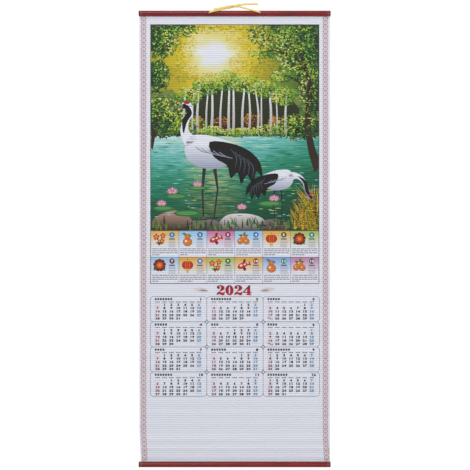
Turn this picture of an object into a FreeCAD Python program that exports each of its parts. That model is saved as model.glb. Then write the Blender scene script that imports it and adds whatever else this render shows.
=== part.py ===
# A wall calendar of the scroll kind: a printed mat of narrow cane slats hangs between two plastic
# rails that are closed by end caps, and a cord knotted into a loop hangs it on a nail.
# Lengths are millimetres. +X is right, +Y is the wall, +Z is up, and the calendar faces -Y.
# The origin is the middle of the top rail's flat back, which lies on the wall.
import FreeCAD, Part
import Sketcher
import math
import os

from FreeCAD import Placement, Rotation, Vector

DRIVING_SIZES = {
    "overall_height": 762.0,
    "overall_width": 320.0,
    "rail_height": 9.0,
    "rail_depth": 9.0,
    "rail_wall": 1.0,
    "rail_back_radius": 0.6,
    "slot_width": 2.0,
    "mat_thickness": 1.5,
    "slat_pitch": 3.665,
    "groove_depth": 0.35,
    "hem_layer_gap": 0.2,
    "hem_seat_gap": 0.2,
    "hem_top_gap": 0.3,
    "mat_side_gap": 0.2,
    "cap_flange": 2.0,
    "cap_end_wall": 0.6,
    "cap_edge_radius": 0.5,
    "peg_length": 8.0,
    "peg_clearance": 0.15,
    "cord_diameter": 2.4,
    "cord_hole_clearance": 0.5,
    "cord_hole_spacing": 84.0,
    "cord_hole_height": 0.8,
    "knot_diameter": 6.6,
}

# The cord's route, chosen by hand: from the cut end of the right tail over the knot, down the left
# strand, through the left hole, along inside the rail, out of the right hole, up the right strand
# and past the front of the knot to the cut end of the left tail.
CORD_ROUTE = [
    (38.7, -5.0, 15.8),
    (23.5, -4.4, 16.9),
    (7.5, -4.0, 14.3),
    (-4.5, -4.9, 11.0),
    (-19.5, -7.9, 7.6),
    (-32.5, -10.5, 3.8),
    (-42.0, -11.5, 0.9),
    (-42.0, -5.85, 0.7),
    (-33.5, -5.95, 0.8),
    (-18.0, -6.1, 1.0),
    (0.0, -6.1, 1.15),
    (18.0, -6.1, 1.0),
    (33.5, -5.95, 0.8),
    (42.0, -5.85, 0.7),
    (42.0, -11.5, 0.9),
    (32.5, -10.5, 3.7),
    (21.0, -8.6, 7.2),
    (12.0, -7.4, 10.2),
    (4.0, -7.0, 12.9),
    (-5.5, -7.2, 13.2),
    (-14.5, -8.1, 11.5),
    (-23.0, -9.0, 9.2),
]
KNOT_CENTRE = (4.0, -5.6, 13.1)

# An arc of the cord's route takes this share of the shorter of its two runs.
ARC_SHARE = 0.45

doc = FreeCAD.newDocument("wall_calendar")
sheet = doc.addObject("Spreadsheet::Sheet", "sizes")
for row, (alias, size) in enumerate(DRIVING_SIZES.items(), start=1):
    sheet.set("A%d" % row, alias)
    sheet.set("B%d" % row, str(size))
    sheet.setAlias("B%d" % row, alias)
doc.recompute()

# What is worked out from the driving sizes, as expressions of the sheet. A depth is measured
# from the wall towards the room, and the rail's own middle line is at height 0.
RAIL_LENGTH = "(sizes.overall_width - 2 * sizes.cap_flange)"
RAIL_DROP = "(sizes.overall_height - sizes.rail_height)"
HALF_RAIL = "(sizes.rail_height / 2)"
FRONT_CENTRE = "(sizes.rail_depth - sizes.rail_height / 2)"
HOLLOW_RADIUS = "(sizes.rail_height / 2 - sizes.rail_wall)"
SLOT_FRONT = "(sizes.rail_wall + sizes.slot_width)"
MAT_MIDDLE = "(sizes.rail_wall + sizes.slot_width / 2)"
SLOT_PLAY = "((sizes.slot_width - sizes.mat_thickness) / 2)"
HEM_FRONT = "(" + MAT_MIDDLE + " + 1.5 * sizes.mat_thickness + sizes.hem_layer_gap)"
PEG_BACK = "(" + HEM_FRONT + " + " + SLOT_PLAY + ")"


def size(expression):
    """The value in millimetres of an expression of the sheet."""
    found = sheet.evalExpression(expression)
    return float(getattr(found, "Value", found))


def new_body(label):
    body = doc.addObject("PartDesign::Body", label)
    body.Label = label
    return body


def new_sketch(body, name, role, forward="0"):
    """A sketch on the body's own origin plane, moved forward along that plane's normal."""
    plane = next(item for item in body.Origin.OriginFeatures if item.Role == role)
    sketch = body.newObject("Sketcher::SketchObject", name)
    sketch.AttachmentSupport = (plane, [""])
    sketch.MapMode = "FlatFace"
    sketch.setExpression("AttachmentOffset.Base.z", forward)
    return sketch


def dimension(sketch, kind, targets, expression):
    """A dimension of the sketch, bound to an expression of the sheet."""
    index = sketch.addConstraint(Sketcher.Constraint(kind, *targets, size(expression)))
    sketch.setExpression("Constraints[%d]" % index, expression)


def draw_rectangle(sketch, left, right, low, high):
    """A rectangle whose sides lie at four expressions, each measured from the sketch's origin."""
    x0, x1, y0, y1 = (size(side) for side in (left, right, low, high))
    corners = [Vector(x0, y0), Vector(x1, y0), Vector(x1, y1), Vector(x0, y1)]
    for start, end in zip(corners, corners[1:] + corners[:1]):
        sketch.addGeometry(Part.LineSegment(start, end))
    for line in range(4):
        sketch.addConstraint(Sketcher.Constraint("Coincident", line, 2, (line + 1) % 4, 1))
    for line, way in enumerate(["Horizontal", "Vertical", "Horizontal", "Vertical"]):
        sketch.addConstraint(Sketcher.Constraint(way, line))
    dimension(sketch, "DistanceX", (-1, 1, 0, 1), left)
    dimension(sketch, "DistanceX", (-1, 1, 0, 2), right)
    dimension(sketch, "DistanceY", (-1, 1, 0, 1), low)
    dimension(sketch, "DistanceY", (-1, 1, 2, 1), high)


def draw_rail_section(sketch, back, centre, radius):
    """The rail's outline: a flat back, two straight sides and a half-round front."""
    y0, yc, r = size(back), size(centre), size(radius)
    sketch.addGeometry(Part.LineSegment(Vector(y0, -r), Vector(y0, r)))
    sketch.addGeometry(Part.LineSegment(Vector(y0, r), Vector(yc, r)))
    half_round = Part.Circle(Vector(yc, 0), Vector(0, 0, 1), r)
    sketch.addGeometry(Part.ArcOfCircle(half_round, math.pi / 2, 3 * math.pi / 2))
    sketch.addGeometry(Part.LineSegment(Vector(yc, -r), Vector(y0, -r)))
    sketch.addConstraint(Sketcher.Constraint("Coincident", 0, 2, 1, 1))
    sketch.addConstraint(Sketcher.Constraint("Coincident", 3, 2, 0, 1))
    sketch.addConstraint(Sketcher.Constraint("Tangent", 1, 2, 2, 1))
    sketch.addConstraint(Sketcher.Constraint("Tangent", 2, 2, 3, 1))
    sketch.addConstraint(Sketcher.Constraint("Vertical", 0))
    sketch.addConstraint(Sketcher.Constraint("Horizontal", 1))
    sketch.addConstraint(Sketcher.Constraint("PointOnObject", 2, 3, -1))
    dimension(sketch, "DistanceX", (-1, 1, 0, 1), back)
    dimension(sketch, "DistanceX", (-1, 1, 2, 3), centre)
    dimension(sketch, "Radius", (2,), radius)


def draw_peg_section(sketch, back, centre, radius):
    """The peg's outline: a flat back and a round front that follows the rail's hollow."""
    yb, yc, r = size(back), size(centre), size(radius)
    half_chord = math.sqrt(r * r - (yb - yc) ** 2)
    start = math.atan2(half_chord, yb - yc)
    rounded = Part.Circle(Vector(yc, 0), Vector(0, 0, 1), r)
    sketch.addGeometry(Part.LineSegment(Vector(yb, -half_chord), Vector(yb, half_chord)))
    sketch.addGeometry(Part.ArcOfCircle(rounded, start, 2 * math.pi - start))
    sketch.addConstraint(Sketcher.Constraint("Coincident", 0, 2, 1, 1))
    sketch.addConstraint(Sketcher.Constraint("Coincident", 1, 2, 0, 1))
    sketch.addConstraint(Sketcher.Constraint("Vertical", 0))
    sketch.addConstraint(Sketcher.Constraint("PointOnObject", 1, 3, -1))
    dimension(sketch, "DistanceX", (-1, 1, 0, 1), back)
    dimension(sketch, "DistanceX", (-1, 1, 1, 3), centre)
    dimension(sketch, "Radius", (1,), radius)


def add_feature(body, kind, name, sketch, length=None, reverse=False, symmetric=False):
    """A pad or a pocket from a sketch. Without a length a pocket goes right through."""
    feature = body.newObject(kind, name)
    feature.Profile = sketch
    feature.Reversed = reverse
    if symmetric:
        feature.SideType = "Symmetric"
    if length:
        feature.setExpression("Length", length)
    else:
        feature.Type = "ThroughAll"
    doc.recompute()
    return feature


def round_edges(body, name, base, radius, chosen):
    """A fillet on those edges of the base feature that the test picks."""
    names = ["Edge%d" % number for number, edge in enumerate(base.Shape.Edges, start=1) if chosen(edge)]
    fillet = body.newObject("PartDesign::Fillet", name)
    fillet.Base = (base, names)
    fillet.setExpression("Radius", radius)
    doc.recompute()
    return fillet


def lies_at(edge, axis, place):
    """True for an edge whose ends and middle all lie at one place along an axis."""
    box = edge.BoundBox
    low = getattr(box, axis + "Min")
    high = getattr(box, axis + "Max")
    return abs(low - place) < 1e-4 and abs(high - place) < 1e-4


def make_rail(label, with_holes):
    """One extrusion: a D-shaped tube whose slot faces the mat, with a lip in front of the slot."""
    body = new_body(label)
    section = new_sketch(body, label + "_section", "YZ_Plane")
    draw_rail_section(section, "0", "-" + FRONT_CENTRE, HALF_RAIL)
    rail = add_feature(body, "PartDesign::Pad", label + "_bar", section, RAIL_LENGTH, symmetric=True)

    def is_back_edge(edge):
        return lies_at(edge, "Y", 0) and edge.BoundBox.XLength > size("sizes.rail_depth")

    round_edges(body, label + "_back_edges", rail, "sizes.rail_back_radius", is_back_edge)
    hollow = new_sketch(body, label + "_hollow_section", "YZ_Plane")
    draw_rail_section(hollow, "-sizes.rail_wall", "-" + FRONT_CENTRE, HOLLOW_RADIUS)
    add_feature(body, "PartDesign::Pocket", label + "_hollow", hollow, symmetric=True)
    slot = new_sketch(body, label + "_slot_section", "YZ_Plane")
    draw_rectangle(slot, "-" + SLOT_FRONT, "-sizes.rail_wall", "-sizes.rail_height", "0")
    add_feature(body, "PartDesign::Pocket", label + "_slot", slot, symmetric=True)
    if with_holes:
        add_cord_holes(body)
    return body


def add_cord_holes(body):
    """Two round holes through the front wall, which the hanging cord comes out of."""
    holes = new_sketch(body, "cord_hole_circles", "XZ_Plane", FRONT_CENTRE)
    radius = "(sizes.cord_diameter / 2 + sizes.cord_hole_clearance)"
    for number, side in enumerate(["-", ""]):
        across = side + "sizes.cord_hole_spacing / 2"
        centre = Vector(size(across), size("sizes.cord_hole_height"))
        sketch_circle = Part.Circle(centre, Vector(0, 0, 1), size(radius))
        holes.addGeometry(sketch_circle)
        dimension(holes, "DistanceX", (-1, 1, number, 3), across)
        dimension(holes, "DistanceY", (-1, 1, number, 3), "sizes.cord_hole_height")
        dimension(holes, "Radius", (number,), radius)
    add_feature(body, "PartDesign::Pocket", "cord_holes", holes, reverse=True)


def make_cap(label, side):
    """One moulded plug for a rail's end. Side is 1 on the right and -1 on the left.

    A flange covers the rail's end, a peg sits in the front of the hollow, and a blind recess in
    the flange's inner face lets the mat and its hem run almost to the end of the rail.
    """
    outward = side > 0
    body = new_body(label)
    outline = new_sketch(body, label + "_outline", "YZ_Plane")
    draw_rail_section(outline, "0", "-" + FRONT_CENTRE, HALF_RAIL)
    flange = add_feature(body, "PartDesign::Pad", label + "_flange", outline, "sizes.cap_flange",
                         reverse=not outward)
    outer_face = side * size("sizes.cap_flange")
    round_edges(body, label + "_outer_edge", flange, "sizes.cap_edge_radius",
                lambda edge: lies_at(edge, "X", outer_face))
    recess_depth = "(sizes.cap_flange - sizes.cap_end_wall)"
    hem_space = new_sketch(body, label + "_hem_outline", "YZ_Plane")
    draw_rectangle(hem_space, "-" + PEG_BACK, "-sizes.rail_wall", "-" + HOLLOW_RADIUS, HOLLOW_RADIUS)
    add_feature(body, "PartDesign::Pocket", label + "_hem_recess", hem_space, recess_depth,
                reverse=outward)
    slot = new_sketch(body, label + "_slot_outline", "YZ_Plane")
    draw_rectangle(slot, "-" + SLOT_FRONT, "-sizes.rail_wall", "-sizes.rail_height", "0")
    add_feature(body, "PartDesign::Pocket", label + "_slot_recess", slot, recess_depth,
                reverse=outward)
    peg = new_sketch(body, label + "_peg_outline", "YZ_Plane")
    draw_peg_section(peg, "-" + PEG_BACK, "-" + FRONT_CENTRE,
                     "(" + HOLLOW_RADIUS + " - sizes.peg_clearance)")
    add_feature(body, "PartDesign::Pad", label + "_peg", peg, "sizes.peg_length", reverse=outward)
    body.Placement.Base = Vector(side * size(RAIL_LENGTH + " / 2"), 0, 0)
    body.setExpression("Placement.Base.x", "%d * " % side + RAIL_LENGTH + " / 2")
    return body


def turn_over(body):
    """Turn a piece of the top rail over in its own plane, so that it serves the bottom rail."""
    body.Placement = Placement(Vector(body.Placement.Base.x, 0, -size(RAIL_DROP)),
                               Rotation(Vector(0, 1, 0), 180))
    body.setExpression("Placement.Base.z", "-" + RAIL_DROP)


def hem_edges():
    """The mat's top hem inside its rail: folded once to the front, its end resting on the lip."""
    back_face = -size(MAT_MIDDLE) + size("sizes.mat_thickness") / 2
    front_face = back_face - size("sizes.mat_thickness")
    hem_back = front_face - size("sizes.hem_layer_gap")
    hem_front = hem_back - size("sizes.mat_thickness")
    fold = (back_face + hem_front) / 2
    inner_radius = size("sizes.hem_layer_gap") / 2
    outer_radius = back_face - fold
    fold_height = size(HOLLOW_RADIUS) - size("sizes.hem_top_gap") - outer_radius
    hem_end = -size(HOLLOW_RADIUS) + size("sizes.hem_seat_gap")
    rail_edge = -size(HALF_RAIL)
    groove = size("sizes.groove_depth")

    def line(start, end):
        return Part.LineSegment(Vector(0, *start), Vector(0, *end)).toShape()

    def fold_arc(radius):
        points = [(fold - radius, 0), (fold, radius), (fold + radius, 0)]
        return Part.Arc(*[Vector(0, y, fold_height + z) for y, z in points]).toShape()

    return [
        line((front_face + groove, rail_edge), (front_face, rail_edge)),
        line((front_face, rail_edge), (front_face, fold_height)),
        fold_arc(inner_radius),
        line((hem_back, fold_height), (hem_back, hem_end)),
        line((hem_back, hem_end), (hem_front, hem_end)),
        line((hem_front, hem_end), (hem_front, fold_height)),
        fold_arc(outer_radius),
        line((back_face, fold_height), (back_face, rail_edge)),
        line((back_face, rail_edge), (back_face - groove, rail_edge)),
    ]


def slat_edges():
    """Both faces of the visible mat: each slat is slightly crowned, and a groove parts it from the next."""
    top = -size(HALF_RAIL)
    visible = size(RAIL_DROP) - size("sizes.rail_height")
    count = round(visible / size("sizes.slat_pitch"))
    pitch = visible / count
    edges = []
    for face in (-1, 1):
        crest = -size(MAT_MIDDLE) + face * size("sizes.mat_thickness") / 2
        groove = crest - face * size("sizes.groove_depth")
        for slat in range(count):
            high = top - slat * pitch
            crown = Part.Arc(Vector(0, groove, high), Vector(0, crest, high - pitch / 2),
                             Vector(0, groove, high - pitch))
            edges.append(crown.toShape())
    print("slats", count, "pitch", round(pitch, 3))
    return edges


def make_mat():
    """The printed mat: one sheet of slats with a hem at each end, held by the two rails."""
    top_hem = hem_edges()
    middle = Vector(0, 0, -size(RAIL_DROP) / 2)
    bottom_hem = [edge.rotated(middle, Vector(0, 1, 0), 180) for edge in top_hem]
    loops = Part.sortEdges(top_hem + slat_edges() + bottom_hem)
    width = size("sizes.overall_width - 2 * (sizes.cap_end_wall + sizes.mat_side_gap)")
    section = Part.Face(Part.Wire(loops[0]))
    mat = doc.addObject("Part::Feature", "mat")
    mat.Label = "mat"
    mat.Shape = section.extrude(Vector(width, 0, 0))
    mat.Placement = Placement(Vector(-width / 2, 0, 0), Rotation())
    return mat


def rounded_route(points):
    """Straight runs joined by tangent arcs, each as large as the two runs beside it allow."""
    edges = []
    radii = []
    start = points[0]
    for before, corner, after in zip(points, points[1:], points[2:]):
        into = corner - before
        out = after - corner
        turn = into.getAngle(out)
        reach = ARC_SHARE * min(into.Length, out.Length)
        radii.append(reach / math.tan(turn / 2))
        arc_start = corner - into.normalize() * reach
        arc_end = corner + out.normalize() * reach
        to_centre = (out - into).normalize()
        centre_distance = math.hypot(radii[-1], reach)
        arc_middle = corner + to_centre * (centre_distance - radii[-1])
        edges.append(Part.LineSegment(start, arc_start).toShape())
        edges.append(Part.Arc(arc_start, arc_middle, arc_end).toShape())
        start = arc_end
    edges.append(Part.LineSegment(start, points[-1]).toShape())
    return Part.Wire(edges), radii


def make_cord():
    """The hanging cord: one length of braid through both holes, its ends tied in one knot."""
    points = [Vector(*point) for point in CORD_ROUTE]
    route, radii = rounded_route(points)
    radius = size("sizes.cord_diameter") / 2
    section = Part.Wire(Part.Circle(points[0], points[1] - points[0], radius).toShape())
    tube = route.makePipeShell([section], True, False)
    expected = math.pi * radius ** 2 * route.Length
    print("cord length", round(route.Length, 2), "volume over section times length",
          round(tube.Volume / expected, 5))
    print("cord radii", [round(value, 1) for value in radii])
    knot = Part.makeSphere(size("sizes.knot_diameter") / 2, Vector(*KNOT_CENTRE))
    cord = doc.addObject("Part::Feature", "hanging_cord")
    cord.Label = "hanging_cord"
    cord.Shape = tube.fuse(knot)
    return cord


top_rail = make_rail("top_rail", True)
bottom_rail = make_rail("bottom_rail", False)
top_left_end_cap = make_cap("top_left_end_cap", -1)
top_right_end_cap = make_cap("top_right_end_cap", 1)
# Turned over, the cap made for a right end closes the right end still, so its hand is the other one.
bottom_left_end_cap = make_cap("bottom_left_end_cap", 1)
bottom_right_end_cap = make_cap("bottom_right_end_cap", -1)
for piece, side in ((bottom_left_end_cap, -1), (bottom_right_end_cap, 1)):
    piece.setExpression("Placement.Base.x", "%d * " % side + RAIL_LENGTH + " / 2")
doc.recompute()
for piece in (bottom_rail, bottom_left_end_cap, bottom_right_end_cap):
    turn_over(piece)
mat = make_mat()
hanging_cord = make_cord()
doc.recompute()

for item in doc.Objects:
    if "Invalid" in item.State or "Error" in item.State:
        raise RuntimeError("%s did not compute: %s" % (item.Label, item.State))

pieces = [mat, top_rail, bottom_rail, top_left_end_cap, top_right_end_cap,
          bottom_left_end_cap, bottom_right_end_cap, hanging_cord]
for piece in pieces:
    shape = piece.Shape
    if shape.isNull() or not shape.isValid() or len(shape.Solids) != 1:
        raise RuntimeError("%s has no single valid solid" % piece.Label)

os.makedirs("parts", exist_ok=True)
for piece in pieces:
    piece.Shape.exportStep("parts/%s.step" % piece.Label)
    box = piece.Shape.BoundBox
    print(piece.Label, "volume", round(piece.Shape.Volume, 2), "box",
          [round(value, 2) for value in (box.XMin, box.YMin, box.ZMin, box.XMax, box.YMax, box.ZMax)])
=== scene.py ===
import bisect
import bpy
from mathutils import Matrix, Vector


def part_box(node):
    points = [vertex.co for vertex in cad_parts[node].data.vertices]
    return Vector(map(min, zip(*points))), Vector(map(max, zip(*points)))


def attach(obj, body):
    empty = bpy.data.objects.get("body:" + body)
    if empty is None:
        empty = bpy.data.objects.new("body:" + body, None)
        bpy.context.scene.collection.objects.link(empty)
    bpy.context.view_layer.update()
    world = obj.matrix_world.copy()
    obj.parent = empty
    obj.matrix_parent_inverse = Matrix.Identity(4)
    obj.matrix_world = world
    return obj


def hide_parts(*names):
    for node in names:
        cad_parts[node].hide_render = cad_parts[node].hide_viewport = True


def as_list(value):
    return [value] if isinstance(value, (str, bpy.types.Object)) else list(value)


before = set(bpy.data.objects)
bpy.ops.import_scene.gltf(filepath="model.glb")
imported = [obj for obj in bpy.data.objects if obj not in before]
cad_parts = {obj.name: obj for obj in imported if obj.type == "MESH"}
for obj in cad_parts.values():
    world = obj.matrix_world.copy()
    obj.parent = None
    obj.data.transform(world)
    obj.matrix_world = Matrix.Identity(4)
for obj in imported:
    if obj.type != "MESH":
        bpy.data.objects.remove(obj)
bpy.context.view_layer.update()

import calendar
import math
import random

import bpy
from mathutils import Vector

# The slat mat. The real one is a sheet of narrow slats of white paper, bound edge to edge so that
# it rolls up like a cane blind. A hem folded to the front at each end catches behind the lip of a
# rail. The lowest slats have slipped a little to the right, with the print on them.
MM = 0.001          # One millimetre in the scene's metres.
SLAT_WIDTH = 3.665
GROOVE_DEPTH = 0.38
GROOVE_NARROWNESS = 2.6
MAT_THICKNESS = 1.5
HEM_LAYER_GAP = 0.2
HEM_END_INSIDE = 1.2
FOLD_STEPS = 10
SLAT_SHARES = (0.0, 0.06, 0.17, 0.34, 0.66, 0.83, 0.94)
END_RAGGEDNESS = 0.22
SLIP = 2.1
SLIP_START = -690.0
LEFT_SLIP_SHARE, RIGHT_SLIP_SHARE = 0.85, 0.28

mat_low, mat_high = [Vector(corner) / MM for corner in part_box("mat")]
top_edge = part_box("top_rail")[0][2] / MM
bottom_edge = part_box("bottom_rail")[1][2] / MM
back_crest = mat_high.y
front_crest = back_crest - MAT_THICKNESS
slat_count = round((top_edge - bottom_edge) / SLAT_WIDTH)
slat_pitch = (top_edge - bottom_edge) / slat_count
slat_levels = sorted([top_edge - (slat + share) * slat_pitch
                      for slat in range(slat_count) for share in SLAT_SHARES] + [bottom_edge])
draws = random.Random(11)


def groove_sink(z):
    """How far the mat's face lies behind the slats' crowns at height z, in millimetres."""
    from_crown = abs(2 * (((top_edge - z) / slat_pitch) % 1.0) - 1)
    return GROOVE_DEPTH * from_crown ** GROOVE_NARROWNESS


def slip(z):
    """How far the slat at height z has slipped to the right, in millimetres."""
    share = min(max((SLIP_START - z) / (SLIP_START - bottom_edge), 0), 1)
    return SLIP * share * share * (3 - 2 * share)


def make_mesh(name, points, faces, smooth_angle=None):
    """A mesh piece from points in millimetres, riding on the calendar's one body."""
    mesh = bpy.data.meshes.new(name)
    mesh.from_pydata([Vector(point) * MM for point in points], [], faces)
    mesh.validate()
    piece = bpy.data.objects.new(name, mesh)
    bpy.context.scene.collection.objects.link(piece)
    if smooth_angle:
        mesh.shade_smooth()
        mesh.set_sharp_from_angle(angle=math.radians(smooth_angle))
    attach(piece, "root")
    return piece


def hem_rows(edge, inward, fold_top):
    """Rows (outer y, outer z, inner y, inner z) of a hem, from its end over the fold to the edge."""
    fold_y = (back_crest + mat_low.y) / 2
    outer_radius = back_crest - fold_y
    inner_radius = HEM_LAYER_GAP / 2
    fold_z = fold_top - inward * outer_radius
    rows = [(mat_low.y, edge + inward * HEM_END_INSIDE,
             fold_y - inner_radius, edge + inward * HEM_END_INSIDE)]
    for step in range(FOLD_STEPS + 1):
        angle = math.pi * (1 - step / FOLD_STEPS)
        across, up = math.cos(angle), inward * math.sin(angle)
        rows.append((fold_y + outer_radius * across, fold_z + outer_radius * up,
                     fold_y + inner_radius * across, fold_z + inner_radius * up))
    return rows


def slat_rows():
    """Rows of the visible sheet from the top down, the back face first."""
    return [(back_crest - groove_sink(z), z, front_crest + groove_sink(z), z)
            for z in reversed(slat_levels)]


sheet_rows = (hem_rows(top_edge, 1, mat_high.z) + slat_rows()
              + hem_rows(bottom_edge, -1, mat_low.z)[::-1])
slat_ends = [(draws.uniform(0, END_RAGGEDNESS), draws.uniform(0, END_RAGGEDNESS))
             for slat in range(slat_count + 1)]
mat_points, mat_faces = [], []
for outer_y, outer_z, inner_y, inner_z in sheet_rows:
    slat = int(min(max((top_edge - outer_z) / slat_pitch, 0), slat_count))
    in_sight = bottom_edge < outer_z <= top_edge
    rounding = groove_sink(outer_z) if in_sight else 0
    slipped = slip(outer_z) if in_sight else 0
    left = mat_low.x + slat_ends[slat][0] + rounding + LEFT_SLIP_SHARE * slipped
    right = mat_high.x - slat_ends[slat][1] - rounding + RIGHT_SLIP_SHARE * slipped
    mat_points += [(left, outer_y, outer_z), (right, outer_y, outer_z),
                   (right, inner_y, inner_z), (left, inner_y, inner_z)]
for row in range(len(sheet_rows) - 1):
    here, below = 4 * row, 4 * row + 4
    for side in range(4):
        other = (side + 1) % 4
        mat_faces.append((here + side, here + other, below + other, below + side))
mat_faces += [(0, 3, 2, 1), tuple(len(mat_points) - 4 + side for side in range(4))]
mat = make_mesh("mat_paper", mat_points, mat_faces, smooth_angle=24)
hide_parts("mat")


def linear(hex_colour):
    """An sRGB hex colour as the linear RGBA that a shader works in."""
    channels = [int(hex_colour[at:at + 2], 16) / 255 for at in (1, 3, 5)]
    return tuple(c / 12.92 if c <= 0.04045 else ((c + 0.055) / 1.055) ** 2.4
                 for c in channels) + (1.0,)


def feed(tree, node, inputs):
    """Give each named input of a node a value or a link."""
    for name, value in inputs.items():
        if isinstance(value, bpy.types.Node):
            value = value.outputs[0]
        if isinstance(value, bpy.types.NodeSocket):
            tree.links.new(value, node.inputs[name])
        else:
            node.inputs[name].default_value = value


def add_node(tree, kind, inputs=None, **settings):
    """Add a node, apply its settings and feed its inputs."""
    node = tree.nodes.new("ShaderNode" + kind)
    for name, value in settings.items():
        setattr(node, name, value)
    feed(tree, node, inputs or {})
    return node


def new_material(name, roughness, ior=1.5):
    """A plain material, its node tree and its Principled shader."""
    material = bpy.data.materials.new(name)
    material.use_nodes = True
    shader = material.node_tree.nodes["Principled BSDF"]
    feed(material.node_tree, shader, {"Roughness": roughness, "IOR": ior})
    return material, material.node_tree, shader


# Uncoated paper slats: matt, with fibres drawn out along each slat, a slightly different white
# from slat to slat, most of all near the foot, and a thin painted shade where two slats meet. Ink is
# thin, and the paper's own white shows through it, so that nothing printed is brighter than bare slats.
PAPER_WHITE = "#DEE0EB"
PAPER_GLOSS = 0.28
FIBRE_LENGTH_MM = 9.0
FIBRE_WIDTH_MM = 0.35
FIBRE_CONTRAST = 0.10
FIBRE_RELIEF_MM = 0.06
# How strong and how narrow the shade painted into the grooves between slats is.
GROOVE_PAINTED_SHADE = 0.36
GROOVE_PAINTED_SHADE_NARROWNESS = 5.0
SLAT_TINT = 0.045
FOOT_TINT_GAIN = 4.6
UNEVEN_FROM = -700.0


def finish_paper(tree, shader, ink_colour):
    """Lay ink on the slats: with painted shade in the grooves, tinted slat by slat, with paper fibres."""
    place = add_node(tree, "TexCoord").outputs["Object"]
    height = add_node(tree, "SeparateXYZ", {"Vector": place}).outputs["Z"]
    # Painted shade: each slat's colour darkens towards the grooves at its edges, over the real grooves'
    # shading.
    below_edge = add_node(tree, "Math", {0: top_edge * MM, 1: height}, operation="SUBTRACT")
    slats_down = add_node(tree, "Math", {0: below_edge, 1: slat_pitch * MM}, operation="DIVIDE")
    share = add_node(tree, "Math", {0: slats_down}, operation="FRACT")
    centred = add_node(tree, "Math", {0: share, 1: 2.0, 2: -1.0}, operation="MULTIPLY_ADD")
    from_crown = add_node(tree, "Math", {0: centred}, operation="ABSOLUTE")
    groove = add_node(tree, "Math", {0: from_crown, 1: GROOVE_PAINTED_SHADE_NARROWNESS}, operation="POWER")
    shade = add_node(tree, "Math", {0: groove, 1: -GROOVE_PAINTED_SHADE, 2: 1.0}, operation="MULTIPLY_ADD")
    slat_number = add_node(tree, "Math", {0: slats_down}, operation="FLOOR")
    slat_draw = add_node(tree, "TexWhiteNoise", {"W": slat_number}, noise_dimensions="1D")
    near_foot = add_node(tree, "MapRange", {
        "Value": height, "From Min": UNEVEN_FROM * MM, "From Max": bottom_edge * MM,
        "To Min": SLAT_TINT, "To Max": SLAT_TINT * FOOT_TINT_GAIN})
    centred_draw = add_node(tree, "Math", {0: slat_draw, 1: 0.5}, operation="SUBTRACT")
    tint = add_node(tree, "Math", {0: centred_draw, 1: near_foot, 2: 1 - SLAT_TINT / 2},
                    operation="MULTIPLY_ADD")
    stretched = add_node(tree, "Mapping", {
        "Vector": place, "Scale": (1 / FIBRE_LENGTH_MM, 1.0, 1 / FIBRE_WIDTH_MM)})
    fibres = add_node(tree, "TexNoise", {"Vector": stretched, "Scale": 1 / MM, "Detail": 3.0,
                                         "Roughness": 0.6})
    streak = add_node(tree, "Math", {0: fibres, 1: FIBRE_CONTRAST, 2: 1 - FIBRE_CONTRAST / 2},
                      operation="MULTIPLY_ADD")
    dull = add_node(tree, "Math", {0: shade, 1: tint}, operation="MULTIPLY")
    level = add_node(tree, "Math", {0: dull, 1: streak}, operation="MULTIPLY")
    white = add_node(tree, "VectorMath", {0: linear(PAPER_WHITE)[:3], "Scale": level},
                     operation="SCALE")
    toned = add_node(tree, "VectorMath", {0: ink_colour, 1: white}, operation="MULTIPLY")
    bump = add_node(tree, "Bump", {"Height": fibres, "Strength": 0.25, "Distance": FIBRE_RELIEF_MM * MM})
    feed(tree, shader, {"Base Color": toned, "Specular IOR Level": PAPER_GLOSS, "Normal": bump})


paper, paper_tree, paper_shader = new_material("uncoated_paper", 0.75)
finish_paper(paper_tree, paper_shader, (1.0, 1.0, 1.0))
mat.data.materials.append(paper)

# The print. Inks lie on the slats and follow every crown and groove, so each printed shape is cut
# at the mat's levels and laid on its face. A layer is one pass of ink, a few hundredths of a
# millimetre above the one before, and each point carries its ink's colour.
INK_STEP = 0.025
INK_NAME = "ink"
# Edges that rise less, and strips that are lower or narrower, leave no mark.
LEAST_RISE, LEAST_HEIGHT, LEAST_WIDTH = 1e-5, 2e-4, 1e-3


def upward(lines):
    """Straight lines as edges (x0, z0, x1, z1) that run upwards, without the level ones."""
    return [(x0, z0, x1, z1) if z0 < z1 else (x1, z1, x0, z0)
            for (x0, z0), (x1, z1) in lines if abs(z1 - z0) > LEAST_RISE]


def strips(edges):
    """Cut what the edges enclose into four-sided strips between neighbouring levels."""
    heights = {round(edge[1], 4) for edge in edges} | {round(edge[3], 4) for edge in edges}
    lowest, highest = min(heights), max(heights)
    first, last = bisect.bisect_right(slat_levels, lowest), bisect.bisect_left(slat_levels, highest)
    heights = sorted(heights | set(slat_levels[first:last]))

    def across(edge, z):
        x0, z0, x1, z1 = edge
        return x0 + (x1 - x0) * min(max((z - z0) / (z1 - z0), 0), 1)

    for low, high in zip(heights, heights[1:]):
        if high - low < LEAST_HEIGHT:
            continue
        middle = (low + high) / 2
        crossing = sorted((across(edge, middle), edge) for edge in edges if edge[1] < middle < edge[3])
        for (x0, left), (x1, right) in zip(crossing[::2], crossing[1::2]):
            if x1 - x0 > LEAST_WIDTH:
                yield ((across(left, low), low), (across(right, low), low),
                       (across(right, high), high), (across(left, high), high))


def ink(layer, outlines, colour):
    """Print closed outlines in a colour: a hex colour, or a function of x and z giving RGBA."""
    lines = [line for outline in outlines for line in zip(outline, outline[1:] + outline[:1])]
    layer.append((upward(lines), colour if callable(colour) else linear(colour)))


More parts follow.
